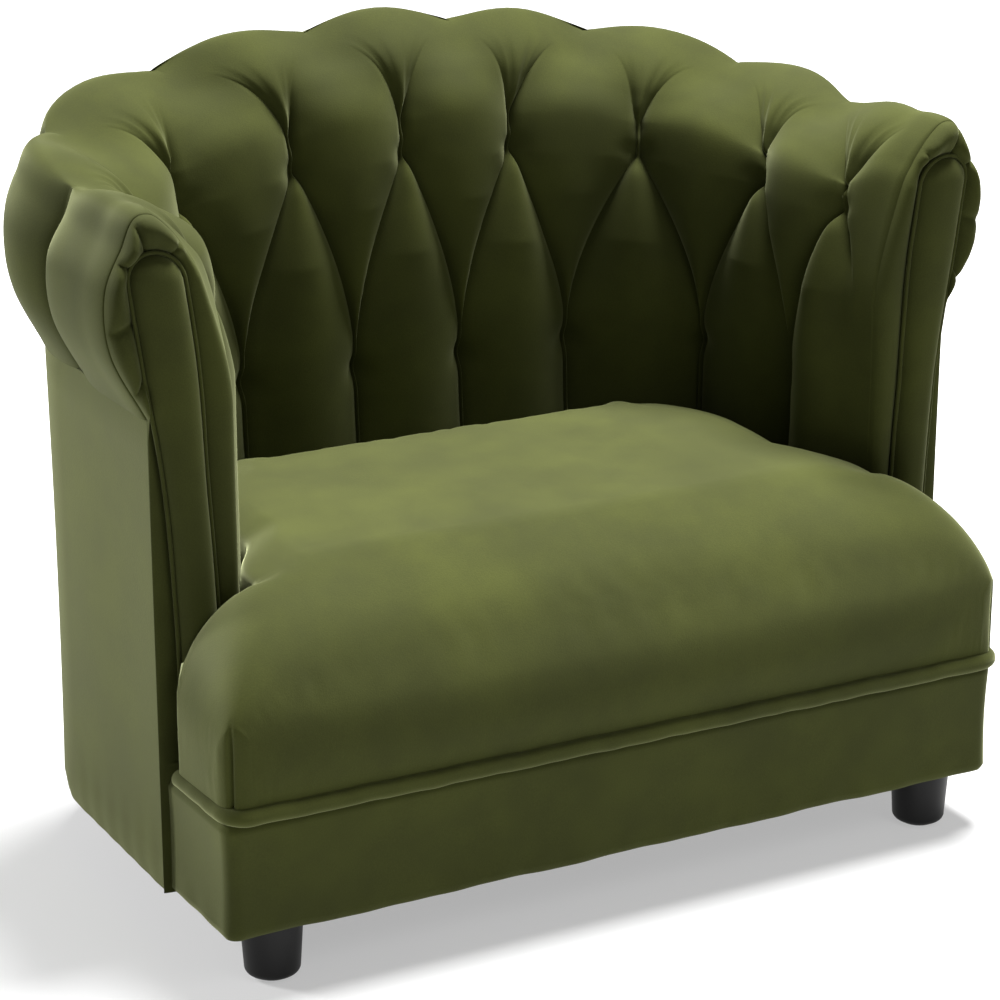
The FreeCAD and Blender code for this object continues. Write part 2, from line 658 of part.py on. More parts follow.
def cushion_profile(x, front_y, shoulder_z, top_z, inset):
    """The seat's side profile at one place across it: upright front, round nose, crowned top."""
    f = front_y + inset
    top = top_z - inset
    low = CUSHION_BOTTOM - 20.0
    nose = f + CUSHION_FRONT_ROUND
    back = CUSHION_BACK_Y + 20.0
    middle = (nose + back) / 2
    turn = math.sqrt(0.5)
    start_z = shoulder_z - inset
    bend = (x, nose - CUSHION_FRONT_ROUND * turn, start_z + (top - start_z) * turn)
    return Part.Wire([
        line((x, f, low), (x, f, start_z)),
        arc((x, f, start_z), bend, (x, nose, top)),
        arc((x, nose, top), (x, middle, top + 6.0), (x, back, top - 10.0)),
        line((x, back, top - 10.0), (x, back, low)),
        line((x, back, low), (x, f, low)),
    ])


def cushion_form(inset, bottom):
    """The T-shaped seat: a crowned loft from ear to ear, trimmed by the T outline between the arms."""
    stations = [
        (EAR_HALF_WIDTH, CUSHION_FRONT_Y + 36.0, 262.0, 318.0),
        (EAR_HALF_WIDTH - 18.0, CUSHION_FRONT_Y + 9.0, 276.0, 362.0),
        (EAR_HALF_WIDTH - 55.0, CUSHION_FRONT_Y, 288.0, 391.0),
        (CUSHION_HALF_WIDTH - 40.0, CUSHION_FRONT_Y, 292.0, 400.0),
        (CUSHION_HALF_WIDTH / 2, CUSHION_FRONT_Y, 294.0, 405.0),
        (0.0, CUSHION_FRONT_Y, 294.0, CUSHION_TOP - 6.0),
    ]
    scale = (EAR_HALF_WIDTH - inset) / EAR_HALF_WIDTH
    across = [(-x, f, s, t) for x, f, s, t in stations[:-1]] + [stations[-1]] + stations[-2::-1]
    loft = Part.makeLoft([cushion_profile(x * scale, f, s, t, inset) for x, f, s, t in across], True, False)
    outline = t_plate(CUSHION, inset, EAR_HALF_WIDTH + 5.0, CUSHION_FRONT_Y - 30.0, EAR_BACK_Y - inset,
                      bottom, CUSHION_TOP + 20.0)
    return loft.common(outline)


def cushion():
    """The lift-out seat: padded cover, foam core, underside cloth with its zip, and the welt."""
    cover = cushion_form(0.0, CUSHION_BOTTOM).cut(cushion_form(CUSHION_WALL, CUSHION_BOTTOM - 10.0))
    core = cushion_form(CUSHION_WALL + 0.5, CUSHION_BOTTOM + GAP)
    cloth_low = CUSHION_BOTTOM - CUSHION_CLOTH
    cloth = t_plate(CUSHION, 3.0, EAR_HALF_WIDTH - UNDERSIDE_SIDE_INSET, CUSHION_FRONT_Y + UNDERSIDE_FRONT_INSET,
                    EAR_BACK_Y - 3.0, cloth_low, CUSHION_BOTTOM)
    slot = ZIP_WIDTH / 2 + 0.5
    half = ZIP_LENGTH / 2
    cloth = cloth.cut(box(-half - 0.5, half + 0.5, ZIP_Y - slot, ZIP_Y + slot, cloth_low - 1, CUSHION_BOTTOM + 1))
    tape = box(-half, half, ZIP_Y - ZIP_WIDTH / 2, ZIP_Y + ZIP_WIDTH / 2, CUSHION_BOTTOM - ZIP_TAPE, CUSHION_BOTTOM)
    slider_top = CUSHION_BOTTOM - ZIP_TAPE - GAP
    end = half - ZIP_END
    slider = box(end - SLIDER_LENGTH, end, ZIP_Y - SLIDER_WIDTH / 2, ZIP_Y + SLIDER_WIDTH / 2,
                 slider_top - SLIDER_HEIGHT, slider_top)
    slider = slider.makeFillet(1.2, [e for e in slider.Edges if e.BoundBox.ZLength > 1])
    z = BORDER_TOP + GAP + WELT_DIAMETER / 2
    x = EAR_HALF_WIDTH - WELT_DIAMETER / 2
    y = CUSHION_FRONT_Y + WELT_DIAMETER / 2
    c = WELT_CORNER
    near = c * (1 - math.sqrt(0.5))
    welt = tube([
        line((-x, EAR_BACK_Y - 2.0, z), (-x, y + c, z)),
        arc((-x, y + c, z), (-x + near, y + near, z), (-x + c, y, z)),
        line((-x + c, y, z), (x - c, y, z)),
        arc((x - c, y, z), (x - near, y + near, z), (x, y + c, z)),
        line((x, y + c, z), (x, EAR_BACK_Y - 2.0, z)),
    ], WELT_DIAMETER)
    return {
        "seat_cover": cover,
        "seat_foam": core,
        "seat_underside": cloth,
        "seat_welt": welt,
        "zip_tape": tape,
        "zip_slider": slider,
    }


def build():
    made = {}
    made.update(rails())
    made.update(feet())
    made.update(base_skin())
    for number, along in enumerate(pleat_lines()[1:-1], 1):
        made["back_rib_%d" % number] = rib(along)
    made["right_arm_stump"] = arm_stump()
    made["left_arm_stump"] = mirror(made["right_arm_stump"])
    made["mid_rail"] = horseshoe_plate(PANEL, COVER + GAP, COVER + GAP + MID_RAIL_DEPTH, ARM_FRONT_Y + GAP,
                                       MID_RAIL_BOTTOM, MID_RAIL_BOTTOM + PLY)
    made["outer_cover"] = outer_cover()
    made.update(pads())
    made.update(facings())
    made.update(cushion())
    return made


os.makedirs("parts", exist_ok=True)
for node, shape in build().items():
    if len(shape.Solids) == 1:
        shape = shape.Solids[0]
    shape.exportStep("parts/%s.step" % node)
    print(node, shape.ShapeType, shape.isValid(), len(shape.Solids), shape.BoundBox)
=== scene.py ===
"""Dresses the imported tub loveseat: tufted velvet pads, a soft T-shaped seat, covers, facings and studio."""
import json
import math

import bmesh
import bpy
import numpy as np
from mathutils import Matrix, Vector


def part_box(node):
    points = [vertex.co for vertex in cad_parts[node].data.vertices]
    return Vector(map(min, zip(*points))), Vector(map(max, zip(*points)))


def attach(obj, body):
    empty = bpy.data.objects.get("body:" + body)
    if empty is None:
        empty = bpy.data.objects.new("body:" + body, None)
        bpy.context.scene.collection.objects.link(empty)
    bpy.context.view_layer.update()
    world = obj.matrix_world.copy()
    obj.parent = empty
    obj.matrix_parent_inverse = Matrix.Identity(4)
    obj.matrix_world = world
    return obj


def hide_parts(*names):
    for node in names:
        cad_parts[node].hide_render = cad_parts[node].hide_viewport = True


bl_info = {
    "name": "Tub loveseat",
    "version": (1, 0, 0),
    "blender": (4, 5, 0),
    "location": "View3D > Sidebar > Loveseat",
    "description": "Makes the soft pieces, finishes and studio of a tufted tub loveseat",
    "category": "Object",
}

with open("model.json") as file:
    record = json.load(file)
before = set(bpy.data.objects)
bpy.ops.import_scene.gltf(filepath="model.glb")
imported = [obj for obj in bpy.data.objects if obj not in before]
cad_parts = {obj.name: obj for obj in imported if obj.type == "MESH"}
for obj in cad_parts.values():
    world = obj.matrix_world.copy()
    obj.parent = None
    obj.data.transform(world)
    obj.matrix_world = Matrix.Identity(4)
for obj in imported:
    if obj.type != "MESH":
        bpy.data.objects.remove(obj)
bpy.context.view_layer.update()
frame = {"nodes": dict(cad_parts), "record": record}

SEAT_LOW, SEAT_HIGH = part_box("seat_cover")
BORDER_LOW, BORDER_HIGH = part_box("base_border")
WELT_LOW, WELT_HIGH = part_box("seat_welt")
PANEL_LOW, PANEL_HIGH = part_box("outer_cover")
FRONT_LOW, FRONT_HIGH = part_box("right_arm_front")
FACING_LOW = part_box("right_facing")[0]
BACK_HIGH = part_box("back_pad")[1]
ARM_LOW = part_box("right_arm_pad")[0]
STUMP_LOW, STUMP_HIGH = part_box("right_arm_stump")
DECK_LOW, DECK_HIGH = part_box("deck_pad")
UNDERSIDE_LOW, UNDERSIDE_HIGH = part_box("seat_underside")
DUST_LOW, DUST_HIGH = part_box("dust_cover")

LOBES_PER_SIDE = 4.5
# The border stands out a little more than the frame's, and more again at its ends
BORDER_GROWTH, BORDER_FLARE = 0.011, 0.003
QUARTER = math.pi / 2
SIDES = (("left", -1.0), ("right", 1.0))


def linear(hex_text):
    """An sRGB hex colour as linear red, green, blue and alpha."""
    values = [int(hex_text[n:n + 2], 16) / 255 for n in (1, 3, 5)]
    return tuple(v / 12.92 if v <= 0.04045 else ((v + 0.055) / 1.055) ** 2.4 for v in values) + (1.0,)


def length(name, about, default):
    """A size that a user can change, in metres."""
    return bpy.props.FloatProperty(name=name, description=about, default=default, unit="LENGTH")


def colour(name, about, hex_text):
    """A colour that a user can change."""
    return bpy.props.FloatVectorProperty(
        name=name, description=about, subtype="COLOR", size=3, default=linear(hex_text)[:3])


class LoveseatSizes(bpy.types.PropertyGroup):
    """Sizes of the soft pieces, in metres."""
    rim_back: length("Back rim", "Height of the roll at the middle of the back", BACK_HIGH[2])
    rim_arm: length("Arm rim", "Height of the roll along the arms", 0.790)
    rim_fall: length("Rim fall", "Run along the tufts over which the rim comes down from back to arm", 0.572)
    tuft_half_width: length("Tuft half width", "From the middle to the tufts on an arm", 0.380)
    tuft_back: length("Tuft back", "From the middle to the tufts on the back", 0.221)
    tuft_corner: length("Tuft corner", "Radius of the tuft line where back meets arm", 0.190)
    tuft_drop_back: length("Tuft drop at back", "From the rim down to the upper tufts at the back", 0.154)
    tuft_drop_arm: length("Tuft drop at arm", "From the rim down to the upper tufts on the arms", 0.105)
    lower_tuft_height: length("Lower tufts", "Height of the lower row of tufts", 0.480)
    pillow_depth: length("Pillow depth", "How far the stuffing stands out between the pleats", 0.028)
    pit_depth: length("Tuft pit", "Extra depth at each sewn tuft", 0.011)
    seat_crown: length("Seat crown", "Height of the seat's middle", 0.414)
    seat_nose: length("Seat nose", "Depth of the round front edge of the seat", 0.142)
    seat_swell: length("Seat swell", "Most that the cloth simulation may move the seat cover", 0.007)


class LoveseatColours(bpy.types.PropertyGroup):
    """Colours of the finishes, as linear red, green and blue."""
    velvet: colour("Velvet", "Ground colour of the pile", "#3b3f1a")
    velvet_tip: colour("Pile tips", "Colour of the pile seen along the surface", "#dadfab")


# Plan outlines: half width, back and corner radius, as the frame has them

# Each by how far it lies outside the tufts or the panel: at the arms, at the back, in corner radius
OUTSIDE_TUFTS = {
    "tufts": (0.0, 0.0, 0.0), "face_low": (-0.032, -0.034, -0.028), "face_high": (-0.028, -0.028, -0.024),
    "throat": (0.006, 0.0, -0.004), "pad_back": (0.012, 0.012, 0.0)}
OUTSIDE_PANEL = {
    "panel": (0.0, 0.0, 0.0), "crest": (-0.005, 0.009, 0.011), "shoulder": (0.025, 0.034, 0.040),
    "roll": (0.043, 0.041, 0.062), "under": (0.038, 0.027, 0.045), "end": (0.003, 0.003, 0.003),
    "hollow_end": (-0.007, -0.007, -0.007), "hollow_out": (0.014, 0.014, 0.020),
    "hollow_top": (-0.018, -0.008, 0.005)}
PANEL_CORNER = 0.200
PANEL_PLAN = (PANEL_HIGH[0], PANEL_HIGH[1], PANEL_CORNER)


def outline(name, sizes):
    """One of the horseshoes that the pad's section passes through."""
    if name in OUTSIDE_PANEL:
        return tuple(np.add(PANEL_PLAN, OUTSIDE_PANEL[name]))
    return tuple(np.add((sizes.tuft_half_width, sizes.tuft_back, sizes.tuft_corner), OUTSIDE_TUFTS[name]))


def horseshoe_frame(along, plan):
    """Points and outward directions along a horseshoe: a straight back, quarter circles, straight arms."""
    half_width, back, corner = plan
    side = np.where(along < 0, -1.0, 1.0)
    run = np.abs(along)
    flat = half_width - corner
    turn = np.clip((run - flat) / corner, 0.0, QUARTER)
    past = np.maximum(run - flat - corner * QUARTER, 0.0)
    nx, ny = np.sin(turn), np.cos(turn)
    x = np.minimum(run, flat) + corner * nx
    y = back - corner + corner * ny - past
    return np.stack([side * x, y], -1), np.stack([side * nx, ny], -1)


def half_length(plan, front):
    """Length of a horseshoe from the middle of its back to an arm's front."""
    half_width, back, corner = plan
    return half_width - corner + corner * QUARTER + back - corner - front


def horseshoe_reach(points, outward, plan):
    """Distance from each point, along its outward direction, to another horseshoe."""
    half_width, back, corner = plan
    px, py = np.abs(points[..., 0]), points[..., 1]
    nx, ny = np.abs(outward[..., 0]), outward[..., 1]
    cx, cy = half_width - corner, back - corner
    to_back = (back - py) / np.maximum(ny, 1e-9)
    to_arm = (half_width - px) / np.maximum(nx, 1e-9)
    half = (px - cx) * nx + (py - cy) * ny
    gap = (px - cx) ** 2 + (py - cy) ** 2 - corner ** 2
    to_arc = -half + np.sqrt(np.maximum(half ** 2 - gap, 0.0))
    on_back = (ny > 1e-6) & (px + to_back * nx <= cx)
    on_arm = (nx > 1e-6) & (py + to_arm * ny <= cy)
    return np.where(on_back, to_back, np.where(on_arm, to_arm, to_arc))


def section_frame(along, sizes):
    """Where each upright section crosses the tufts and its direction out to the roll: tufts and roll are
    shared out in equal steps, so the lobes stay even round the corners."""
    origin = horseshoe_frame(along, outline("tufts", sizes))[0]
    roll = outline("roll", sizes)
    stretch = half_length(roll, ARM_LOW[1]) / half_run(sizes)
    outward = horseshoe_frame(along * stretch, roll)[0] - origin
    return origin, outward / np.linalg.norm(outward, axis=-1, keepdims=True)


def rise(along, sizes):
    """1 at the middle of the back, easing by half a cosine to 0 on the arms."""
    return 0.5 * (1 + np.cos(np.pi * np.minimum(1.0, np.abs(along) / sizes.rim_fall)))


def half_run(sizes):
    """Length of the tuft line from the middle of the back to an arm's front."""
    return half_length(outline("tufts", sizes), ARM_LOW[1])


def heights(along, sizes):
    """Heights of the rim and of the upper tufts at every place along the pads."""
    lift = rise(along, sizes)
    rim = sizes.rim_arm + (sizes.rim_back - sizes.rim_arm) * lift
    return rim, rim - sizes.tuft_drop_arm - (sizes.tuft_drop_back - sizes.tuft_drop_arm) * lift


def smooth_curve(knots, marks):
    """Cubic Hermite curves through knots (knot, row, column, value), each row read at its own knot mark."""
    slopes = np.empty_like(knots)
    slopes[1:-1] = (knots[2:] - knots[:-2]) / 2
    slopes[0] = knots[1] - knots[0]
    slopes[-1] = knots[-1] - knots[-2]
    step = np.clip(np.floor(marks).astype(int), 0, len(knots) - 2)
    row = np.arange(knots.shape[1])
    t = (marks - step)[:, None, None]
    return ((2 * t ** 3 - 3 * t ** 2 + 1) * knots[step, row] + (t ** 3 - 2 * t ** 2 + t) * slopes[step, row]
            + (3 * t ** 2 - 2 * t ** 3) * knots[step + 1, row] + (t ** 3 - t ** 2) * slopes[step + 1, row])


def ease(value, start, end):
    """0 before start, 1 after end, smooth between."""
    t = np.clip((value - start) / (end - start), 0.0, 1.0)
    return t * t * (3 - 2 * t)


def furrow(distance, size):
    """A furrow of the given depth and width, as a bell curve of the distance from its bottom."""
    depth, width = size
    return depth * np.exp(-(distance / width) ** 2)


def round_off(distance, radius):
    """How far a quarter-round edge has fallen, from 1 at the edge to 0 at its radius."""
    share = 1.0 - np.clip(distance / radius, 0.0, 1.0)
    return 1.0 - np.sqrt(np.maximum(1.0 - share ** 2, 0.0))


# Meshes

def grid_faces(rows, columns, wrap_rows=False, wrap_columns=False):
    """Quads of a grid of points, as an array of four indices each."""
    index = np.arange(rows * columns).reshape(rows, columns)
    if wrap_rows:
        index = np.vstack([index, index[:1]])
    if wrap_columns:
        index = np.hstack([index, index[:, :1]])
    return np.stack([index[:-1, :-1], index[:-1, 1:], index[1:, 1:], index[1:, :-1]], -1).reshape(-1, 4)


def shell_faces(rows, columns):
    """Faces of a grid whose rows close on themselves, with a face across the first and the last column."""
    faces = grid_faces(rows, columns, wrap_rows=True).tolist()
    faces.append([n * columns for n in range(rows)])
    faces.append([n * columns + columns - 1 for n in range(rows)])
    return faces


def ring_faces(rows, columns):
    """Faces of a grid whose columns close on themselves, with a face across the first and the last row."""
    faces = grid_faces(rows, columns, wrap_columns=True).tolist()
    faces.append(list(range(columns)))
    faces.append(list(range((rows - 1) * columns, rows * columns)))
    return faces


def at_height(plan, z):
    """Plan points lifted to a height, or to a height each."""
    return np.column_stack([plan, np.broadcast_to(z, len(plan))])


def at_depth(edge, y):
    """Points of an upright outline, given as x and z, set at a depth, or at a depth each."""
    return np.column_stack([edge[:, 0], np.broadcast_to(y, len(edge)), edge[:, 1]])


def mirrored(points, side):
    """The same points, with x turned over where side is -1."""
    points = np.array(points)
    points[..., 0] *= side
    return points


def directions(path):
    """Unit directions along a path of points."""
    ahead = np.gradient(path, axis=0)
    return ahead / np.linalg.norm(ahead, axis=1, keepdims=True)


def make_piece(name, points, faces, material, crease_deg=55.0):
    """A mesh object at the origin whose faces all point outwards."""
    mesh = bpy.data.meshes.new(name)
    mesh.from_pydata(np.asarray(points).reshape(-1, 3).tolist(), [], faces)
    build = bmesh.new()
    build.from_mesh(mesh)
    bmesh.ops.remove_doubles(build, verts=build.verts, dist=1e-5)
    bmesh.ops.recalc_face_normals(build, faces=build.faces)
    build.to_mesh(mesh)
    build.free()
    mesh.polygons.foreach_set("use_smooth", np.ones(len(mesh.polygons), bool))
    mesh.set_sharp_from_angle(angle=math.radians(crease_deg))
    mesh.materials.append(material)
    piece = bpy.data.objects.new(name, mesh)
    bpy.context.scene.collection.objects.link(piece)
    return piece


def place(piece, body, nodes):
    """Puts a finished piece on its body, in the place of its CAD nodes."""
    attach(piece, body)
    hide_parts(*nodes)
    return piece


def tube_points(path, radius, sides=16):
    """A round tube along an open path of points: a circle carried square to the path."""
    path = np.asarray(path)
    ahead = directions(path)
    guide = np.array([0.0, 0.0, 1.0]) if np.abs(ahead[:, 2]).max() < 0.5 else np.array([0.0, 1.0, 0.0])
    across = np.cross(ahead, guide)
    across /= np.linalg.norm(across, axis=1, keepdims=True)
    upward = np.cross(across, ahead)
    turn = np.linspace(0, 2 * np.pi, sides, endpoint=False)
    ring = np.cos(turn)[None, :, None] * across[:, None] + np.sin(turn)[None, :, None] * upward[:, None]
    return path[:, None] + ring * np.reshape(radius, (-1, 1, 1))


def capped_tube(name, path, radius, material, sides=16):
    """A round tube along a path, closed by a flat face at each end."""
    points = tube_points(path, radius, sides)
    return make_piece(name, points, ring_faces(*points.shape[:2]), material)


def spread(path, count):
    """An open path of points read again at even steps along its length."""
    path = np.asarray(path, float)
    run = np.concatenate([[0.0], np.cumsum(np.linalg.norm(np.diff(path, axis=0), axis=1))])
    where = np.linspace(0, run[-1], count)
    return np.stack([np.interp(where, run, path[:, n]) for n in range(path.shape[1])], -1)


def rounded_path(corners, radii, steps=12):
    """A plan path through corner points, each turned by an arc of its own radius."""
    corners = np.asarray(corners, float)
    points = [corners[0]]
    for before, here, after, radius in zip(corners, corners[1:], corners[2:], radii):
        back = (before - here) / np.linalg.norm(before - here)
        on = (after - here) / np.linalg.norm(after - here)
        half = math.acos(np.clip(back @ on, -1, 1)) / 2
        middle = here + (back + on) / np.linalg.norm(back + on) * radius / math.sin(half)
        start, end = here + back * radius / math.tan(half), here + on * radius / math.tan(half)
        first = math.atan2(*(start - middle)[::-1])
        sweep = math.atan2(*(end - middle)[::-1]) - first
        sweep = (sweep + math.pi) % (2 * math.pi) - math.pi
        turn = first + sweep * np.linspace(0, 1, steps)
        points.extend(middle + radius * np.stack([np.cos(turn), np.sin(turn)], -1))
    points.append(corners[-1])
    return np.array(points)


# Materials

def add_node(tree, kind, links=(), feeds=(), stops=(), **settings):
    """Adds a node, sets its inputs or attributes by name and a ramp's positions and colours, links other
    nodes' sockets into it, and feeds its outputs into other inputs."""
    node = tree.nodes.new(kind)
    for name, value in settings.items():
        socket = name.replace("_", " ").title()
        if hasattr(node, name):
            setattr(node, name, value)
        else:
            node.inputs[socket].default_value = value
    for number, (position, tone) in enumerate(stops):
        points = node.color_ramp.elements
        point = points[number] if number < len(points) else points.new(position)
        point.position = position
        point.color = tone
    for source, target in links:
        tree.links.new(source, node.inputs[target])
    for output, socket in feeds:
        tree.links.new(node.outputs[output], socket)
    return node


def new_material(name):
    """A material, its node tree, its shader's inputs and the socket that gives each point's place."""
    material = bpy.data.materials.new(name)
    material.use_nodes = True
    tree = material.node_tree
    place_node = add_node(tree, "ShaderNodeTexCoord")
    return material, tree, tree.nodes["Principled BSDF"].inputs, place_node.outputs["Object"]


def velvet(name, depth, sheen):
    """Cotton velvet, woven with a cut pile: dark when seen into the pile, pale along it, with soft brushed
    patches. depth scales the base colour and sheen sets the shine; a copy with lower depth and sheen is
    painted shade, made darker and duller for the pieces that lie in shade.
    A pile tuft is about 0.5 mm; the fleck here is drawn at 1.6 mm so that it shows."""
    colours = bpy.context.scene.loveseat_colours
    material, tree, shader, spot = new_material(name)
    # depth scales the base colour: below the seat copy's value this darkening is painted shade
    ground = np.array(colours.velvet) * depth
    patch = add_node(tree, "ShaderNodeTexNoise", [(spot, "Vector")], scale=7.0, detail=3.0, roughness=0.6)
    fleck = add_node(tree, "ShaderNodeTexNoise", [(spot, "Vector")], scale=620.0, detail=2.0)
    mix = add_node(tree, "ShaderNodeMath", [(fleck.outputs["Fac"], 0), (patch.outputs["Fac"], 2)],
                   operation="MULTIPLY_ADD")
    mix.inputs[1].default_value = 0.35
    gains = ((0.40, 0.78), (0.62, 1.0), (0.86, 1.35))
    add_node(tree, "ShaderNodeValToRGB", [(mix.outputs["Value"], "Fac")], [("Color", shader["Base Color"])],
             [(position, (*(ground * gain), 1.0)) for position, gain in gains])
    add_node(tree, "ShaderNodeMapRange", [(patch.outputs["Fac"], "Value")], [("Result", shader["Roughness"])],
             to_min=0.78, to_max=0.95)
    shader["Specular IOR Level"].default_value = 0.12
    shader["Sheen Weight"].default_value = sheen
    shader["Sheen Roughness"].default_value = 0.42
    shader["Sheen Tint"].default_value = (*colours.velvet_tip, 1.0)
    add_node(tree, "ShaderNodeBump", [(fleck.outputs["Fac"], "Height")], [("Normal", shader["Normal"])],
             strength=0.22, distance=0.0006)
    return material


def moulded_foot():
    """Polypropylene, injection moulded with a fine spark texture: nearly black, dull, with soft edge shine.
    The texture's grains are about 0.7 mm across."""
    material, tree, shader, spot = new_material("black_moulded_polypropylene")
    grain = add_node(tree, "ShaderNodeTexNoise", [(spot, "Vector")], scale=1400.0, detail=2.0)
    scuff = add_node(tree, "ShaderNodeTexNoise", [(spot, "Vector")], scale=28.0, detail=5.0)
    add_node(tree, "ShaderNodeValToRGB", [(scuff.outputs["Fac"], "Fac")], [("Color", shader["Base Color"])],
             [(0.35, linear("#050505")), (0.75, linear("#0b0b0b"))])
    add_node(tree, "ShaderNodeMapRange", [(scuff.outputs["Fac"], "Value")], [("Result", shader["Roughness"])],
             to_min=0.38, to_max=0.58)
    shader["IOR"].default_value = 1.49
    shader["Specular IOR Level"].default_value = 0.25
    add_node(tree, "ShaderNodeBump", [(grain.outputs["Fac"], "Height")], [("Normal", shader["Normal"])],
             strength=0.12, distance=0.0002)
    return material


def sawn_wood(name, dark, light, stretch):
    """Sawn timber or ply: straight grain lines about 3 mm apart along the longer axis, dull and open."""
    material, tree, shader, spot = new_material(name)
    turned = add_node(tree, "ShaderNodeMapping", [(spot, "Vector")], scale=stretch)
    place_on = [(turned.outputs["Vector"], "Vector")]
    grain = add_node(tree, "ShaderNodeTexNoise", place_on, scale=16.0, detail=8.0, roughness=0.65)
    fibre = add_node(tree, "ShaderNodeTexNoise", place_on, scale=160.0, detail=3.0)
    add_node(tree, "ShaderNodeValToRGB", [(grain.outputs["Fac"], "Fac")], [("Color", shader["Base Color"])],
             [(0.36, linear(dark)), (0.52, linear(light)), (0.70, linear(dark))])
    shader["Roughness"].default_value = 0.72
    add_node(tree, "ShaderNodeBump", [(fibre.outputs["Fac"], "Height")], [("Normal", shader["Normal"])],
             strength=0.25, distance=0.0005)
    return material


def woven_cloth(name, dark, light, thread_mm, roughness=0.9):
    """Plain woven cloth: two sets of threads crossing, drawn as crossed waves at the thread's spacing."""
    material, tree, shader, spot = new_material(name)
    scale = 1000.0 / thread_mm / 20.0
    warp, weft = (add_node(tree, "ShaderNodeTexWave", [(spot, "Vector")], bands_direction=axis, scale=scale,
                           distortion=0.6) for axis in "XY")
    both = add_node(tree, "ShaderNodeMath", [(warp.outputs["Fac"], 0), (weft.outputs["Fac"], 1)],
                    operation="MULTIPLY")
    add_node(tree, "ShaderNodeValToRGB", [(both.outputs["Value"], "Fac")], [("Color", shader["Base Color"])],
             [(0.0, linear(dark)), (0.8, linear(light))])
    shader["Roughness"].default_value = roughness
    add_node(tree, "ShaderNodeBump", [(both.outputs["Value"], "Height")], [("Normal", shader["Normal"])],
             strength=0.4, distance=0.0006)
    return material


def foam():
    """Polyurethane foam and felt: off-white, matt, with open cells about 1.5 mm across."""
    material, tree, shader, spot = new_material("polyurethane_foam")
    cells = add_node(tree, "ShaderNodeTexVoronoi", [(spot, "Vector")], scale=650.0)
    add_node(tree, "ShaderNodeValToRGB", [(cells.outputs["Distance"], "Fac")],
             [("Color", shader["Base Color"])], [(0.0, linear("#b9b2a0")), (0.6, linear("#e2dccb"))])
    shader["Roughness"].default_value = 0.95
    add_node(tree, "ShaderNodeBump", [(cells.outputs["Distance"], "Height")], [("Normal", shader["Normal"])],
             strength=0.4, distance=0.001)
    return material


def zinc_steel():
    """Zinc-plated steel: bright grey metal with faint spangles 2.4 mm across and a slightly dull skin."""
    material, tree, shader, spot = new_material("zinc_plated_steel")
    spangle = add_node(tree, "ShaderNodeTexVoronoi", [(spot, "Vector")], scale=420.0)
    add_node(tree, "ShaderNodeValToRGB", [(spangle.outputs["Distance"], "Fac")],
             [("Color", shader["Base Color"])], [(0.0, linear("#8f9092")), (0.7, linear("#b7b6b0"))])
    shader["Metallic"].default_value = 1.0
    shader["Roughness"].default_value = 0.36
    return material


FINISHES = {}


def finish(name):
    """The scene's materials, made once each."""
    makers = {
        # Two copies of one velvet: the seat, welt and covers take the lighter one with more sheen; the back,
        # arms, arm fronts and facings take a darker one with less sheen, which is painted shade
        "velvet": lambda: velvet("olive_cotton_velvet", 0.95, 0.66),
        "velvet_painted_shade": lambda: velvet("olive_cotton_velvet_painted_shade", 0.84, 0.20),
        "foot_black": moulded_foot,
        "timber": lambda: sawn_wood("sawn_pine", "#a9824f", "#d2ad78", (1.0, 9.0, 9.0)),
        "plywood": lambda: sawn_wood("birch_plywood", "#b08e60", "#dcc196", (6.0, 6.0, 1.0)),
        "lining": lambda: woven_cloth("black_spunbond_lining", "#070707", "#1d1d1c", 1.6),
        "webbing": lambda: woven_cloth("elastic_webbing", "#2a2724", "#5a554c", 3.0),
        "wadding": foam,
        "glide_grey": lambda: woven_cloth("grey_felt_glide", "#4c4c4b", "#6d6c69", 1.2),
        "zinc_steel": zinc_steel,
        "zip_black": lambda: woven_cloth("nylon_zip_tape", "#0a0a0a", "#242424", 1.4, 0.6),
    }
    if name not in FINISHES:
        FINISHES[name] = makers[name]()
    return FINISHES[name]


# The tufted pad

# Numbers of the section's stops at the lower tufts, the upper tufts, the crest and the end of the roll
LOWER_STOP, UPPER_STOP, CREST_STOP, END_STOP = 1.0, 2.0, 4.0, 8.0
# The stop between the upper tufts and the rim, as a share of the way down from the rim
THROAT_SHARE = 0.4
# How far below the rim the section passes each stop of the roll, and the hidden skin each of its own
ROLL_DROPS = {"crest": 0.0, "shoulder": 0.038, "roll": 0.083, "under": 0.144, "end": 0.213}
HOLLOW_DROPS = {"hollow_end": 0.198, "hollow_out": 0.112, "hollow_top": 0.052}
# The pleats: where up the lobe they reach the valley, how slowly they open, and the narrowest cell they leave
VALLEY_SHARE, OPENING_POWER, LEAST_CELL = 0.92, 2.5, 0.0022
# Heights along the cloth above the upper tufts, from start to end of a change: fans of folds begin and fade,
# pleats run out into lobes, lobes go over the crest, stuffing thins at the crest and at the roll's end
FAN_START, FAN_FADE, PLEATS_OUT = (0.010, 0.035), (0.10, 0.165), (0.045, 0.150)
OVER_CREST, CREST_THIN, ROLL_END = (0.165, 0.250), (0.10, 0.24), (0.28, 0.44)
# The same below the upper tufts: stuffing thins towards the seat
STRIP_THIN = (0.25, 0.45)
# Depth and width of the sewn pleats, the valleys of the roll and the folds of a fan, and the width of a tuft
PLEAT, VALLEY, FOLD = (0.0026, 0.0030), (0.0018, 0.0040), (0.0036, 0.0034)
PIT_WIDTH = 0.014
# Height of the waves along the crest, depth between the lobes of the roll, and the width of a full pillow
CREST_WAVE, ROLL_LOBE, FULL_WIDTH = 0.0070, 0.024, 0.050
# Columns from a lobe's middle to its pleat and on to the valley, crowded towards the pleat by a power
COLUMNS_PER_CELL = 10
CROWDING = 1.6
FAN_SHARES = tuple(1.0 - (1.0 - n / COLUMNS_PER_CELL) ** CROWDING for n in (3, 6))
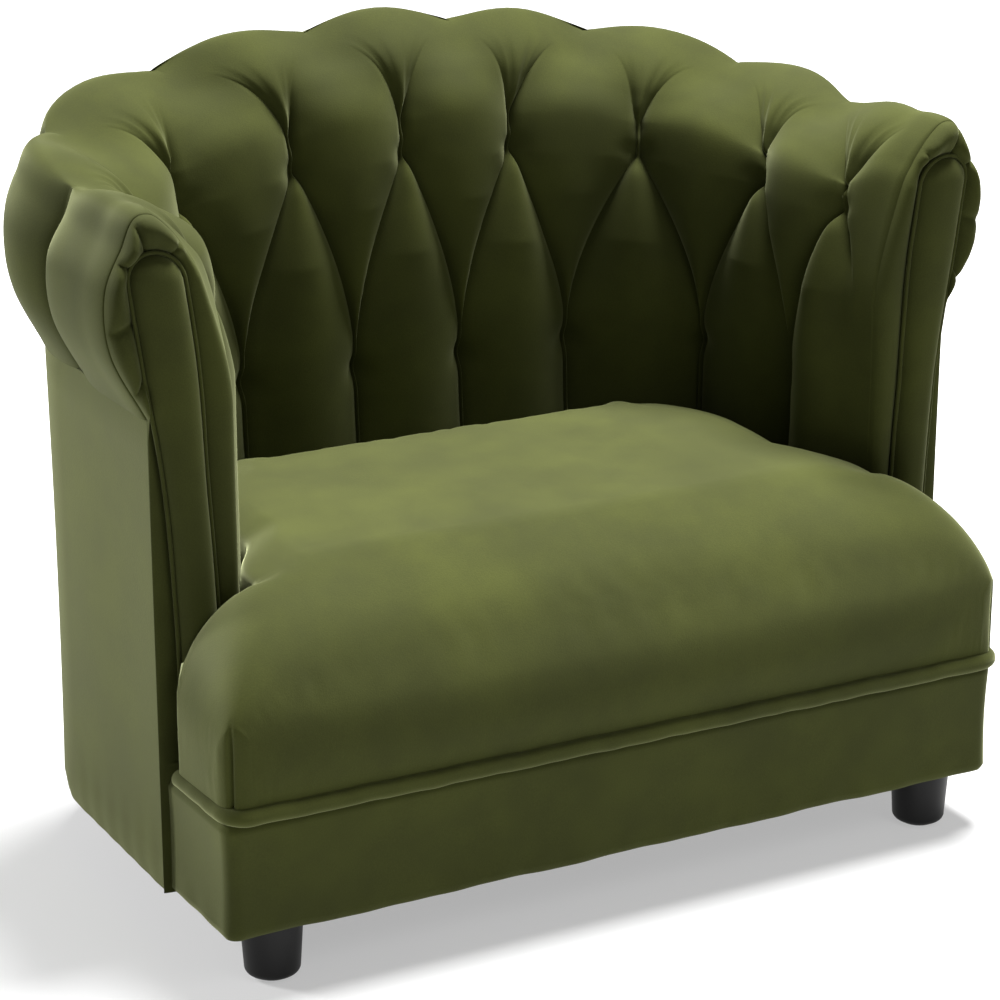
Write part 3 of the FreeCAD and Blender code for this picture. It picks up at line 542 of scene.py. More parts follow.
# At the arm's front: middle of the arm, run over which it narrows, share of the inner half that stays at the
# foot and is lost towards the head, the heights between, and the drop and radius of the round front edge
ARM_MIDDLE, FRONT_RUN = 0.470, 0.105
FRONT_SHARE, HEAD_LOSS, HEAD_SPAN = 0.69, 0.25, (0.58, 0.76)
FRONT_DROP, FRONT_RADIUS = 0.004, 0.022


def pad_base(along, sizes, marks):
    """The pad's smooth section with no pleats, from the seat past the tufts, over the crest and round the
    roll, joined by a cubic. along has a row for every mark up the section."""
    origin, outward = section_frame(along, sizes)
    rim, upper = heights(along, sizes)
    stops = [
        ("face_low", np.full_like(rim, ARM_LOW[2])), ("face_low", np.full_like(rim, sizes.lower_tuft_height)),
        ("face_high", upper), ("throat", rim - THROAT_SHARE * (rim - upper))]
    stops += [(name, rim - drop) for name, drop in ROLL_DROPS.items()]
    knots = np.stack([np.stack([horseshoe_reach(origin, outward, outline(name, sizes)), height], -1)
                      for name, height in stops])
    section = smooth_curve(knots, marks)
    return np.concatenate([origin + outward * section[..., :1], section[..., 1:]], -1)


def even_marks(sizes, rows, steps=400):
    """Knot marks at even steps along the section at the middle of the back."""
    fine = np.linspace(0, END_STOP, steps)
    middle = pad_base(np.zeros((steps, 1)), sizes, fine)[:, 0]
    run = np.concatenate([[0.0], np.cumsum(np.linalg.norm(np.diff(middle, axis=0), axis=1))])
    return np.interp(np.linspace(0, run[-1], rows), run, fine)


def run_up(points, marks):
    """Arc length up every column from the upper tufts, and where the lower tufts and the crest lie on it."""
    steps = np.linalg.norm(np.diff(points, axis=0), axis=2)
    run = np.vstack([np.zeros((1, points.shape[1])), np.cumsum(steps, axis=0)])

    def level(mark):
        at = int(np.searchsorted(marks, mark))
        share = (mark - marks[at - 1]) / (marks[at] - marks[at - 1])
        return run[at - 1] + (run[at] - run[at - 1]) * share

    upper = level(UPPER_STOP)
    return run - upper, level(LOWER_STOP) - upper, level(CREST_STOP) - upper


def surface_normals(points):
    """Normals of a grid of points by crossing its two directions: towards the sitter, and out of the roll."""
    normal = np.cross(np.gradient(points, axis=1), np.gradient(points, axis=0))
    return normal / np.maximum(np.linalg.norm(normal, axis=2, keepdims=True), 1e-9)


def pleat_place(height, lower, crest, half):
    """How far a lobe's pleat lies from the lobe's middle: from nothing at the upper tuft it opens upwards by
    a power of the height, slowly and then fast, to the valley, and downwards as a sine to the lower tuft."""
    climb = np.clip(height / (VALLEY_SHARE * crest), 0.0, 1.0)
    fall = np.clip(height / lower, 0.0, 1.0)
    place_out = half * np.where(height > 0, climb ** OPENING_POWER, np.sin(QUARTER * fall))
    return np.clip(place_out, LEAST_CELL, half - LEAST_CELL)


def tuft_relief(offset, lobe, pleat, height, lower, half, sizes):
    """How far each point of the pad sinks below its fullest form.
    Each lobe has an upper tuft at its middle. From it a pleat on each side opens upwards to the valley
    between two lobes and another opens downwards to the lower tuft, so the cloth is cut into fans, diamonds
    and strips. Inside each of these the stuffing stands up as a parabola between its two pleats. Towards the
    crest the pleats run out into a cosine wave along it, and on the roll into lobes that fall as a cube."""
    across = np.abs(offset)
    inside = across < pleat
    width = np.where(inside, pleat, half - pleat)
    from_pleat = np.abs(across - pleat)
    share = np.clip(from_pleat / width, 0.0, 1.0)
    fullness = np.minimum(1.0, width / FULL_WIDTH) ** 0.6
    flattened = 0.60 * ease(height, *ROLL_END)
    depth = sizes.pillow_depth * (1.0 - 0.45 * ease(-height, *STRIP_THIN) - 0.25 * ease(height, *CREST_THIN)
                                  - flattened)
    sink = depth * (1.0 - fullness * (1.0 - (1.0 - share) ** 2.0)) + furrow(from_pleat, PLEAT)
    crest_wave = CREST_WAVE * (1.0 - np.cos(np.pi * across / half))
    roll_lobe = ROLL_LOBE * (across / half) ** 3 * (1.0 - flattened) + furrow(half - across, VALLEY)
    scallop = crest_wave + (roll_lobe - crest_wave) * ease(height, *OVER_CREST)
    sink += (scallop - sink) * ease(height, *PLEATS_OUT)
    for level in (0.0, 1.0):
        from_tuft = np.hypot(height - level * lower, across - level * half)
        sink += furrow(from_tuft, (sizes.pit_depth, PIT_WIDTH))
    rng = np.random.default_rng(7)
    number = (lobe + int(LOBES_PER_SIDE)).astype(int)
    fade = ease(height, *FAN_START) * (1.0 - ease(height, *FAN_FADE))
    for share_out in FAN_SHARES:
        for side in (-1.0, 1.0):
            vigour = rng.uniform(0.35, 1.2, 2 * int(LOBES_PER_SIDE) + 1)[number]
            sink += vigour * fade * furrow(np.abs(offset * side - share_out * pleat), FOLD)
    return sink


def lobe_columns():
    """Column places along the pads: lobe number, side of the lobe, and cell share, 0 to 1 inside the pleat
    and 1 to 2 outside it. The pads end in the valleys beyond the last lobes."""
    cells = np.arange(2 * COLUMNS_PER_CELL) / COLUMNS_PER_CELL
    count = int(LOBES_PER_SIDE)
    lobes, sides, shares = [], [], []
    for number in range(-count, count + 1):
        lobes.append(np.full(4 * COLUMNS_PER_CELL, number))
        sides.append(np.repeat([-1.0, 1.0], 2 * COLUMNS_PER_CELL))
        shares.append(np.concatenate([2.0 - cells, cells]))
    return (np.append(np.concatenate(lobes), count), np.append(np.concatenate(sides), 1.0),
            np.append(np.concatenate(shares), 2.0))


def pad_surface(sizes, rows=250):
    """The tufted face of the pads from one arm's front to the other's, as rows up by columns along.
    The columns bend to follow the pleats, so each pleat runs along one column."""
    half = half_run(sizes) / LOBES_PER_SIDE / 2
    lobe, side, share = lobe_columns()
    marks = even_marks(sizes, rows)
    even = (lobe * 2 + side * share / 2) * half
    points = pad_base(np.tile(even, (rows, 1)), sizes, marks)
    height, lower, crest = run_up(points, marks)
    pleat = pleat_place(height, lower, crest, half)
    inner = 1.0 - np.maximum(1.0 - share, 0.0) ** CROWDING
    outer = np.maximum(share - 1.0, 0.0) ** CROWDING
    offset = side * np.where(share <= 1.0, pleat * inner, pleat + (half - pleat) * outer)
    along = lobe * 2 * half + offset
    points = pad_base(along, sizes, marks)
    sink = tuft_relief(offset, lobe, pleat, height, lower, half, sizes)
    front = half_run(sizes) - np.abs(along)
    sink *= ease(front, 0.35 * half, 0.85 * half)
    sink += FRONT_DROP * round_off(front, FRONT_RADIUS)
    points = points - surface_normals(points) * sink[..., None]
    return narrowed(points, front), even


def narrowed(points, front):
    """Draws the inner side of the pads out towards the panel at the arm's front, most near the rim, as the
    arm is thinner there: the distance to the arm's middle is cut to a share that eases back to 1."""
    width = np.abs(points[..., 0])
    front_share = FRONT_SHARE - HEAD_LOSS * ease(points[..., 2], *HEAD_SPAN)
    share = 1.0 - (1.0 - front_share) * (1.0 - ease(front, 0.0, FRONT_RUN))
    width = np.where(width < ARM_MIDDLE, ARM_MIDDLE - (ARM_MIDDLE - width) * share, width)
    return np.stack([np.sign(points[..., 0]) * width, points[..., 1], points[..., 2]], -1)


def pad_lining(along, sizes):
    """The hidden inner skin of the pads, from the roll's end back down to the seat, in a few rows."""
    origin, outward = section_frame(along, sizes)
    rim, upper = heights(along, sizes)
    stops = [(name, rim - drop) for name, drop in HOLLOW_DROPS.items()]
    stops += [("pad_back", upper), ("pad_back", np.full_like(rim, ARM_LOW[2]))]
    rows = []
    for name, height in stops:
        reach = horseshoe_reach(origin, outward, outline(name, sizes))[:, None]
        rows.append(at_height(origin + outward * reach, height))
    return narrowed(np.stack(rows), half_run(sizes) - np.abs(along))


def make_tufted_pad():
    """The back and both arms in one closed skin: the tufted face, and the hidden skin behind it."""
    sizes = bpy.context.scene.loveseat_sizes
    face, along = pad_surface(sizes)
    points = np.concatenate([face, pad_lining(along, sizes)])
    faces = shell_faces(*points.shape[:2])
    # The back and arms take the darker velvet copy: painted shade
    piece = make_piece("tufted_back_and_arms", points, faces, finish("velvet_painted_shade"), crease_deg=75.0)
    place(piece, "frame", ["left_arm_pad", "back_pad", "right_arm_pad"])


# The seat

SEAT_FRONT, SEAT_BACK = SEAT_LOW[1] + 0.006, SEAT_HIGH[1] + 0.001
# Where the ears end behind, and the seat's half width between the arms and at the ears
NECK_Y, NECK, EAR = FRONT_LOW[1] - 0.0165, 0.343, SEAT_HIGH[0] + BORDER_GROWTH
# How much wider it is at the arms' fronts, and at the ears' back ends
NECK_FLARE, EAR_FLARE = 0.039, 0.004
# Plan radii at the back, and at the front and back of the ears
SEAT_CORNER, EAR_CORNER, EAR_BACK_CORNER = 0.156, 0.026, 0.012
# Drop and reach of the rounds at the nose, the ears, along the arms and at the back; the one behind the ears
# has the arms' drop. The nose's reach is a size of its own
NOSE_DROP = 0.115
EAR_ROUND, ARM_ROUND, BACK_ROUND = (0.135, 0.125), (0.013, 0.055), (0.030, 0.036)
EAR_BACK_REACH = 0.036
# How far the top falls to the sides and to the ends, where its crown lies, and how far from it the ends are
SIDE_FALL, END_FALL, CROWN_Y, CROWN_REACH = 0.002, 0.004, 0.067, 0.25
# The dart in each front corner: depth and width, distance in from both faces, across direction, and top
DART, DART_INSET, DART_X, DART_Y, DART_TOP = (0.0060, 0.0019), 0.0076, 0.74, 0.67, (0.275, 0.310)
SWELL_FRAMES = 12


def seat_half_width(y):
    """Half width of the seat behind the ears: wider at the arms' fronts, straight, then quarter circles into
    the back."""
    turn = np.clip(y - (SEAT_BACK - SEAT_CORNER), 0.0, SEAT_CORNER)
    flare = NECK_FLARE * (1.0 - ease(y - FRONT_HIGH[1], 0.0, FRONT_RUN))
    return NECK + flare - SEAT_CORNER + np.sqrt(np.maximum(SEAT_CORNER ** 2 - turn ** 2, 0.0))


def ear_edge(y):
    """Half width at the ears before their corners are rounded, a little wider behind."""
    return EAR + EAR_FLARE * ease(y, SEAT_FRONT, NECK_Y)


def ear_half_width(y):
    """Half width of the seat's ears, less a quarter round at the front corner and a smaller one behind."""
    trim = EAR_CORNER * round_off(y - SEAT_FRONT, EAR_CORNER)
    trim_back = EAR_BACK_CORNER * round_off(NECK_Y - y, EAR_BACK_CORNER)
    return ear_edge(y) - trim - trim_back


def seat_height(x, y, sizes):
    """The seat's top: a low crown that falls by the square, a long round nose at the front, ears that fall in
    a wide round, a round along the arms and smaller ones at the back and behind the ears."""
    width = np.abs(x)
    crown = sizes.seat_crown - SIDE_FALL * (x / NECK) ** 2 - END_FALL * ((y - CROWN_Y) / CROWN_REACH) ** 2
    nose = NOSE_DROP * round_off(y - SEAT_FRONT, sizes.seat_nose)
    ear_side = EAR_ROUND[0] * round_off(ear_edge(y) - width, EAR_ROUND[1]) * (y < NECK_Y + 1e-6)
    ahead = np.maximum(NECK_Y - y, 0.0) / EAR_BACK_REACH
    beside = np.maximum(seat_half_width(y) - width, 0.0) / ARM_ROUND[1]
    to_arm = np.where(width > NECK + NECK_FLARE, ahead, np.hypot(ahead, beside))
    arm_tuck = ARM_ROUND[0] * round_off(to_arm, 1.0)
    back_tuck = BACK_ROUND[0] * round_off(SEAT_BACK - y, BACK_ROUND[1])
    tuck = np.maximum(arm_tuck, back_tuck)
    fallen = (nose ** 3 + ear_side ** 3) ** (1 / 3)
    return crown - np.maximum(fallen, tuck) - 0.25 * np.minimum(fallen, tuck)


def seat_patch(x, y, sizes):
    """Points of the seat's top over a grid of plan places."""
    return np.stack([x, y, seat_height(x, y, sizes)], -1)


def seat_mesh(sizes):
    """The seat cover's closed form: a crowned top made of the part between the arms and two ears, walls let
    down from its edge in even steps, and a flat underside. Rows crowd towards the front and the back."""
    ahead = SEAT_FRONT + (NECK_Y - SEAT_FRONT) * np.linspace(0, 1, 46) ** 1.5
    behind = NECK_Y + (SEAT_BACK - NECK_Y) * np.sin(np.linspace(0, QUARTER, 64))
    even = np.linspace(-1, 1, 121)
    y, share = np.meshgrid(np.concatenate([ahead, behind[1:]]), 0.35 * np.sin(even * QUARTER) + 0.65 * even,
                           indexing="ij")
    body = seat_patch(share * seat_half_width(y), y, sizes)
    y, out = np.meshgrid(ahead, 1 - (1 - np.linspace(0, 1, 28)) ** 1.4, indexing="ij")
    neck = NECK + NECK_FLARE
    right = seat_patch(neck + (ear_half_width(y) - neck) * out, y, sizes)
    left = mirrored(right, -1.0)
    turn = len(ahead) - 1
    edge = np.concatenate([
        left[0, ::-1], body[0], right[0], right[:, -1], right[-1, ::-1], body[turn:, -1], body[-1, ::-1],
        body[:turn - 1:-1, 0], left[-1], left[::-1, -1]])
    edge = edge[np.linalg.norm(edge - np.roll(edge, 1, axis=0), axis=1) > 1e-6]
    drop = np.linspace(0, 1, 10)[:, None, None]
    walls = edge + (edge * (1, 1, 0) + (0, 0, SEAT_LOW[2]) - edge) * drop
    points, faces, start = [], [], 0
    for patch, wrap in ((body, False), (right, False), (left, False), (walls, True)):
        points.append(patch.reshape(-1, 3))
        faces.extend((grid_faces(*patch.shape[:2], wrap_columns=wrap) + start).tolist())
        start += len(points[-1])
    faces.append(list(range(start - len(edge), start)))
    return np.concatenate(points), faces


def read_points(mesh):
    """A mesh's points as an array."""
    flat = np.empty(len(mesh.vertices) * 3)
    mesh.vertices.foreach_get("co", flat)
    return flat.reshape(-1, 3)


def write_points(mesh, points):
    """Puts an array of points back into a mesh."""
    mesh.vertices.foreach_set("co", np.ascontiguousarray(points).ravel())
    mesh.update()


def swell(piece, most, pinned):
    """Fills the cover by Blender's cloth under pressure for a few frames, no point moving more than most."""
    mesh = piece.data
    before = read_points(mesh)
    group = piece.vertex_groups.new(name="held")
    group.add([int(n) for n in np.flatnonzero(pinned)], 1.0, "REPLACE")
    cloth = piece.modifiers.new("fill", "CLOTH")
    cloth.settings.quality = 4
    cloth.settings.mass = 0.3
    cloth.settings.tension_stiffness = 22
    cloth.settings.compression_stiffness = 22
    cloth.settings.bending_stiffness = 15
    cloth.settings.use_pressure = True
    cloth.settings.uniform_pressure_force = 4.0
    cloth.settings.effector_weights.gravity = 0.0
    cloth.settings.vertex_group_mass = "held"
    scene = bpy.context.scene
    for number in range(1, SWELL_FRAMES + 1):
        scene.frame_set(number)
    shaped = piece.evaluated_get(bpy.context.evaluated_depsgraph_get()).to_mesh()
    after = read_points(shaped)
    piece.modifiers.remove(cloth)
    piece.vertex_groups.remove(group)
    scene.frame_set(1)
    move = after - before
    size = np.linalg.norm(move, axis=1, keepdims=True)
    write_points(mesh, before + move * np.minimum(1.0, most / np.maximum(size, 1e-9)))


def corner_darts(points):
    """Sinks a narrow dart seam up each front corner of the seat, as a furrow square to the corner."""
    x, y, z = np.abs(points[:, 0]), points[:, 1], points[:, 2]
    around = (x - EAR + DART_INSET) * DART_X + (y - SEAT_FRONT - DART_INSET) * DART_Y
    near_corner = (x > EAR - 0.08) * (y < SEAT_FRONT + 0.09)
    sink = (1.0 - ease(z, *DART_TOP)) * near_corner * furrow(around, DART)
    out = np.stack([np.sign(points[:, 0]) * DART_Y, np.full_like(x, -DART_X), np.zeros_like(x)], -1)
    return points - out * sink[:, None]


def make_seat():
    """The seat cushion: its closed form, filled by the cloth simulation, with darts and faint ripples."""
    sizes = bpy.context.scene.loveseat_sizes
    points, faces = seat_mesh(sizes)
    piece = make_piece("seat_cushion", points, faces, finish("velvet"), crease_deg=70.0)
    mesh = piece.data
    swell(piece, sizes.seat_swell, read_points(mesh)[:, 2] < SEAT_LOW[2] + 1e-4)
    points = corner_darts(read_points(mesh))
    ripple = np.sin(points[:, 0] * 31.0 + 1.3) * np.sin(points[:, 0] * 13.0 + points[:, 1] * 9.0)
    points[:, 2] += 0.0008 * ripple * ease(points[:, 2], 0.30, 0.40)
    write_points(mesh, points)
    place(piece, "cushion", ["seat_cover", "seat_foam"])


def front_path(x, y, end, flare, corner, count):
    """Plan of a band along the front and round both corners to the arms, a little wider at its ends."""
    path = rounded_path([(-x - flare, end), (-x, y), (x, y), (x + flare, end)], (corner, corner))
    return spread(path, count)


def make_welt():
    """The thick welt under the seat: a covered cord along the front and both ears, puckered a little by sines
    along its run. It stands proud of the seat and is raised into the seat's edge."""
    radius = (WELT_HIGH[2] - WELT_LOW[2]) / 2
    proud, raised, corner = 0.0040, 0.0026, 0.024
    x, y = WELT_HIGH[0] + BORDER_GROWTH + proud - radius, WELT_LOW[1] - proud + radius
    plan = front_path(x, y, WELT_HIGH[1], EAR_FLARE, corner, 420)
    run = np.linspace(0, 1, len(plan))
    wave = 0.0004 * np.sin(run * 61.0) + 0.0003 * np.sin(run * 143.0 + 0.7)
    path = at_height(plan, WELT_LOW[2] + radius + raised + wave)
    thick = radius * (1.10 + 0.02 * np.sin(run * 210.0) * np.sin(run * 37.0))
    piece = capped_tube("seat_welt_cord", path, thick, finish("velvet"), sides=20)
    place(piece, "cushion", ["seat_welt"])


# Covers of the base and the outside

# Thickness of the covers, depth and radius of their rolled edges, and how far under the rim the outer ends
COVER_THICKNESS, EDGE_DEPTH, EDGE_RADIUS = 0.0055, 0.0035, 0.006
COVER_DROP = 0.211


def strip_shell(name, plan, inward, low, high, ripple):
    """A velvet-covered band: its outer face follows a plan path between two heights, with rolled edges."""
    share = np.linspace(0, 1, 26)[:, None]
    height = low[None, :] + (high - low)[None, :] * share
    rolled = round_off(height - low[None, :], EDGE_RADIUS) + round_off(high[None, :] - height, EDGE_RADIUS)
    depth = EDGE_DEPTH * rolled + ripple(share, np.linspace(0, 1, len(plan))[None, :])
    outer = np.concatenate([plan[None] + inward[None] * depth[..., None], height[..., None]], -1)
    inner = np.stack([at_height(plan + inward * COVER_THICKNESS, level) for level in (high, low)])
    points = np.concatenate([outer, inner])
    return make_piece(name, points, shell_faces(*points.shape[:2]), finish("velvet"))


def make_outer_cover():
    """The plain sides and back: cloth over board, pulled a little hollow between its edges."""
    sizes = bpy.context.scene.loveseat_sizes
    panel = outline("panel", sizes)
    reach = half_length(panel, PANEL_LOW[1])
    along = np.linspace(-reach, reach, 320)
    plan, outward = horseshoe_frame(along, panel)
    top = heights(along * half_run(sizes) / reach, sizes)[0] - COVER_DROP

    def ripple(share, run):
        pull = 0.0016 * np.sin(np.pi * share) * (1 + 0.5 * np.sin(run * 38.0))
        pucker = 0.0003 * np.sin(run * 260.0) * (1 - ease(share, 0.0, 0.16))
        return pull + pucker

    low = np.full(len(plan), PANEL_LOW[2])
    piece = strip_shell("outer_side_and_back_cover", plan, -outward, low, top, ripple)
    place(piece, "frame", ["outer_cover"])


def make_border():
    """The plain band under the welt, round the front corners to the arms, with a lower edge that waves."""
    corner = 0.018
    x = BORDER_HIGH[0] + BORDER_GROWTH
    plan = front_path(x, BORDER_LOW[1], BORDER_HIGH[1], BORDER_FLARE, corner, 360)
    ahead = directions(plan)
    inward = np.stack([-ahead[:, 1], ahead[:, 0]], -1)

    def ripple(share, run):
        pull = 0.0012 * np.sin(np.pi * share) * (1 + np.sin(run * 23.0))
        pucker = 0.0004 * np.sin(run * 150.0) * (1 - ease(share, 0.0, 0.3))
        return pull + pucker

    run = np.linspace(0, 1, len(plan))
    low = BORDER_LOW[2] + 0.0012 + 0.0012 * np.sin(run * 47.0) * np.sin(run * 11.0)
    piece = strip_shell("front_border_band", plan, inward, low, np.full(len(plan), BORDER_HIGH[2]), ripple)
    place(piece, "frame", ["base_border"])


# Arm fronts

# Heights of the foot and of the round top's centre, and how far the round top leans out for its height
FACING_FOOT, FACING_HEAD, HEAD_LEAN = FACING_LOW[2], 0.719, 0.147
# Middle of the facing at its foot, how far it leans out up to the head, and by which power of the height
FACING_X, FACING_LEAN, LEAN_POWER = 0.435, 0.034, 2.2
# Half width at the foot, what it gains towards the head, and the heights between
FACING_HALF, FACING_GAIN, GAIN_SPAN = 0.022, 0.007, (0.48, 0.66)
# The cord round it: radius, distance out from the facing's edge and forward from its base
CORD_RADIUS, CORD_OUT, CORD_FORWARD = 0.0022, 0.0012, 0.0050
# How deep the facing's base is let into the gathered cloth
FACING_SINK = 0.003


def facing_middle(z):
    """Middle of the right facing at each height: upright at the foot, leaning out by a power of height."""
    share = np.clip((z - FACING_FOOT) / (FACING_HEAD - FACING_FOOT), 0.0, 1.0)
    return FACING_X + FACING_LEAN * share ** LEAN_POWER


def facing_half(z):
    """Half width of the facing, wider at the head."""
    return FACING_HALF + FACING_GAIN * ease(z, *GAIN_SPAN)


def facing_edge(share, grow):
    """The facing's outline from inside foot, over the round top, to outside foot; share runs from 0 to 1."""
    top = facing_half(FACING_HEAD) + grow
    side = FACING_HEAD - FACING_FOOT
    run = np.asarray(share) * (2 * side + top * np.pi)
    turn = np.clip((run - side) / top, 0.0, np.pi)
    z = FACING_FOOT + np.minimum(run, side) + top * np.sin(turn) - np.maximum(run - side - top * np.pi, 0.0)
    level = np.minimum(z, FACING_HEAD)
    x = facing_middle(level) - np.cos(turn) * (facing_half(level) + grow) + HEAD_LEAN * (z - level)
    return np.stack([x, z], -1)


def make_facings():
    """The narrow padded facings: a shallow dome between straight sides and a round top, on a foot that
    reaches back to the gathered cloth, with a thin cord round it."""
    base = FRONT_HIGH[1] - FACING_SINK
    proud = base - FACING_LOW[1]
    run = np.linspace(0, 1, 170)
    rim = facing_edge(run, 0.0)
    level = np.minimum(rim[:, 1], FACING_HEAD)
    core = np.stack([facing_middle(level), level], -1)
    rings = [at_depth(facing_edge(run, 0.001), FRONT_HIGH[1])]
    for share in np.linspace(0, 1, 12):
        dome = proud * np.sqrt(1 - (1 - share) ** 2.4)
        rings.append(at_depth(rim + (core - rim) * share, base - dome))
    points = np.stack(rings)
    rows, columns = points.shape[:2]
    ends = [n * columns for n in range(rows)] + [n * columns + columns - 1 for n in reversed(range(rows))]
    faces = grid_faces(rows, columns).tolist() + [list(range(columns)), ends]
    edge = facing_edge(np.linspace(0, 1, 220), CORD_OUT)
    wobble = 0.0003 * np.sin(np.linspace(0, 70, len(edge)))
    path = at_depth(edge, base - CORD_FORWARD + wobble)
    for name, side in SIDES:
        # Facings and their cords take the darker velvet copy: painted shade
        piece = make_piece(name + "_arm_facing", mirrored(points, side), faces, finish("velvet_painted_shade"))
        place(piece, "frame", [name + "_facing"])
        cord = capped_tube(name + "_facing_cord", mirrored(path, side), np.full(len(path), CORD_RADIUS),
                           finish("velvet_painted_shade"), sides=12)
        place(cord, "frame", [name + "_facing_piping"])


# Turns round the facing's head at which the gathered cloth is pleated, and a pleat's depth and width in turns
PLEAT_TURNS, GATHER = (-0.58, 0.33, 1.06, 2.05, 2.72), (0.0030, 0.045)
# Turns over which the puffs start inside, end outside, and the cloth flattens below them
PUFF_START, PUFF_END, FLATTEN = (-0.95, -0.55), (2.75, 3.05), (2.9, 3.3)
# How far the cloth swells between roll and facing, a puff's extra, and turns and width to reach full size
SWELLING, PUFF, PUFF_TURN, FULL_GAP = 0.0110, 0.0075, 0.26, 0.020


def facing_target(rim):
    """The point of the facing's edge that each rim point is drawn to, and its turn round the head from
    upright. Above the head's centre it lies on the line to that centre, below it a little higher than the
    rim point, and under the facing it lies behind the border."""
    middle = facing_middle(FACING_HEAD)
    half = facing_half(FACING_HEAD)
    beside, above = rim[:, 0] - middle, rim[:, 1] - FACING_HEAD
    away = np.hypot(beside, above)
    over = np.stack([middle + half * beside / away, FACING_HEAD + half * above / away], -1)
    level = np.maximum(FACING_HEAD + above * (0.8 + 0.2 * ease(-above, 0.15, 0.35)), FACING_FOOT)
    side = np.stack([facing_middle(level) + np.sign(beside) * facing_half(level), level], -1)
    drawn = np.where((above > 0)[:, None], over, side)
    toe = np.stack([np.full(len(rim), FACING_LOW[0]), rim[:, 1]], -1)
    drawn = np.where(((rim[:, 1] < FACING_FOOT) & (beside > 0))[:, None], toe, drawn)
    turn = np.where(above > 0, np.arctan2(beside, above), np.sign(beside) * (QUARTER - above / 0.10))
    return drawn, turn


def make_arm_fronts():
    """The gathered fronts of the arms: cloth drawn from the roll's edge to the facing, puffed between pleats
    that run straight to the facing's edge. It swells as a sine between the two, and a puff falls to its
    pleats by a power of the turn from them."""
    face = pad_surface(bpy.context.scene.loveseat_sizes)[0]
    base = FRONT_HIGH[1]
    for column, (name, side) in zip((0, -1), SIDES):
        rim = mirrored(face[:, column], side)[:, [0, 2]]
        down = np.linspace(rim[-1, 1] - 0.004, FRONT_LOW[2], 40)
        tail = np.column_stack([np.full(len(down), PANEL_HIGH[0]), down])
        rim = spread(np.concatenate([rim, tail]), 420)
        drawn, turn = facing_target(rim)
        from_pleat = np.min(np.abs(turn[:, None] - np.array(PLEAT_TURNS)), axis=1)
        puffed = ease(turn, *PUFF_START) * (1.0 - ease(turn, *PUFF_END))
        wide = np.minimum(1.0, np.linalg.norm(drawn - rim, axis=1) / FULL_GAP)
        plain = SWELLING * wide * (1.0 - 0.75 * ease(turn, *FLATTEN))
        puff = PUFF * puffed * np.minimum(1.0, from_pleat / PUFF_TURN) ** 0.55
        forward = plain + puff - puffed * furrow(from_pleat, GATHER)
        rings = [at_depth(rim, base)]
        for share in np.linspace(0, 1, 26):
            swelling = max(math.sin(math.pi * share ** 0.75), 0.0) ** 0.7
            rings.append(at_depth(rim + (drawn - rim) * share, base - forward * swelling))
        rings.append(at_depth(drawn, base))
        points = mirrored(np.stack(rings), side)
        faces = shell_faces(*points.shape[:2])
        # The arm fronts take the darker velvet copy: painted shade
        piece = make_piece(name + "_gathered_arm_front", points, faces, finish("velvet_painted_shade"),
                           crease_deg=70.0)
        place(piece, "frame", [name + "_arm_front"])


# Hidden pieces

def make_stumps():
    """The plywood uprights behind the facings, cut back at the top to stay inside the narrow arm fronts. The
    two edges are given as half width and height."""
    inner = [(0.400, STUMP_LOW[2]), (0.400, 0.500), (0.412, 0.600), (0.448, STUMP_HIGH[2])]
    outer = [(0.466, STUMP_HIGH[2]), (0.474, 0.560), (0.474, STUMP_LOW[2])]
    profile = np.array(inner + outer)
    points = np.stack([at_depth(profile, y) for y in (STUMP_LOW[1], STUMP_HIGH[1])])
    faces = ring_faces(*points.shape[:2])
    for name, side in SIDES:
        piece = make_piece(name + "_arm_upright", mirrored(points, side), faces, finish("plywood"),
                           crease_deg=30.0)
        place(piece, "frame", [name + "_arm_stump"])


def tee_edge(low, high, plan, neck_y):
    """Plan edge of a T: a bar across the front and a horseshoe behind it."""
    reach = half_length(plan, neck_y)
    stem = horseshoe_frame(np.linspace(reach, -reach, 120), plan)[0]
    x, front = high[0], low[1]
    bar_right = [(0.0, front), (x, front), (x, neck_y)]
    bar_left = [(-x, neck_y), (-x, front), (0.0, front)]
    return spread(np.concatenate([bar_right, stem, bar_left]), 300)[:-1]


def soft_plate(name, edge, low, high, rim, dip, material):
    """A flat pad on a plan edge: its rim is a quarter round, its top dips to the middle as a sine squared."""
    centre = np.array([0.0, NECK_Y - 0.012])
    rings = [at_height(edge, low)]
    for share in 0.97 * np.linspace(0, 1, 24) ** 1.8:
        height = high - rim * round_off(0.25 * share, rim) - dip * math.sin(QUARTER * share) ** 2
        rings.append(at_height(edge + (centre - edge) * share, height))
    points = np.stack(rings)
    return make_piece(name, points, ring_faces(*points.shape[:2]), material)


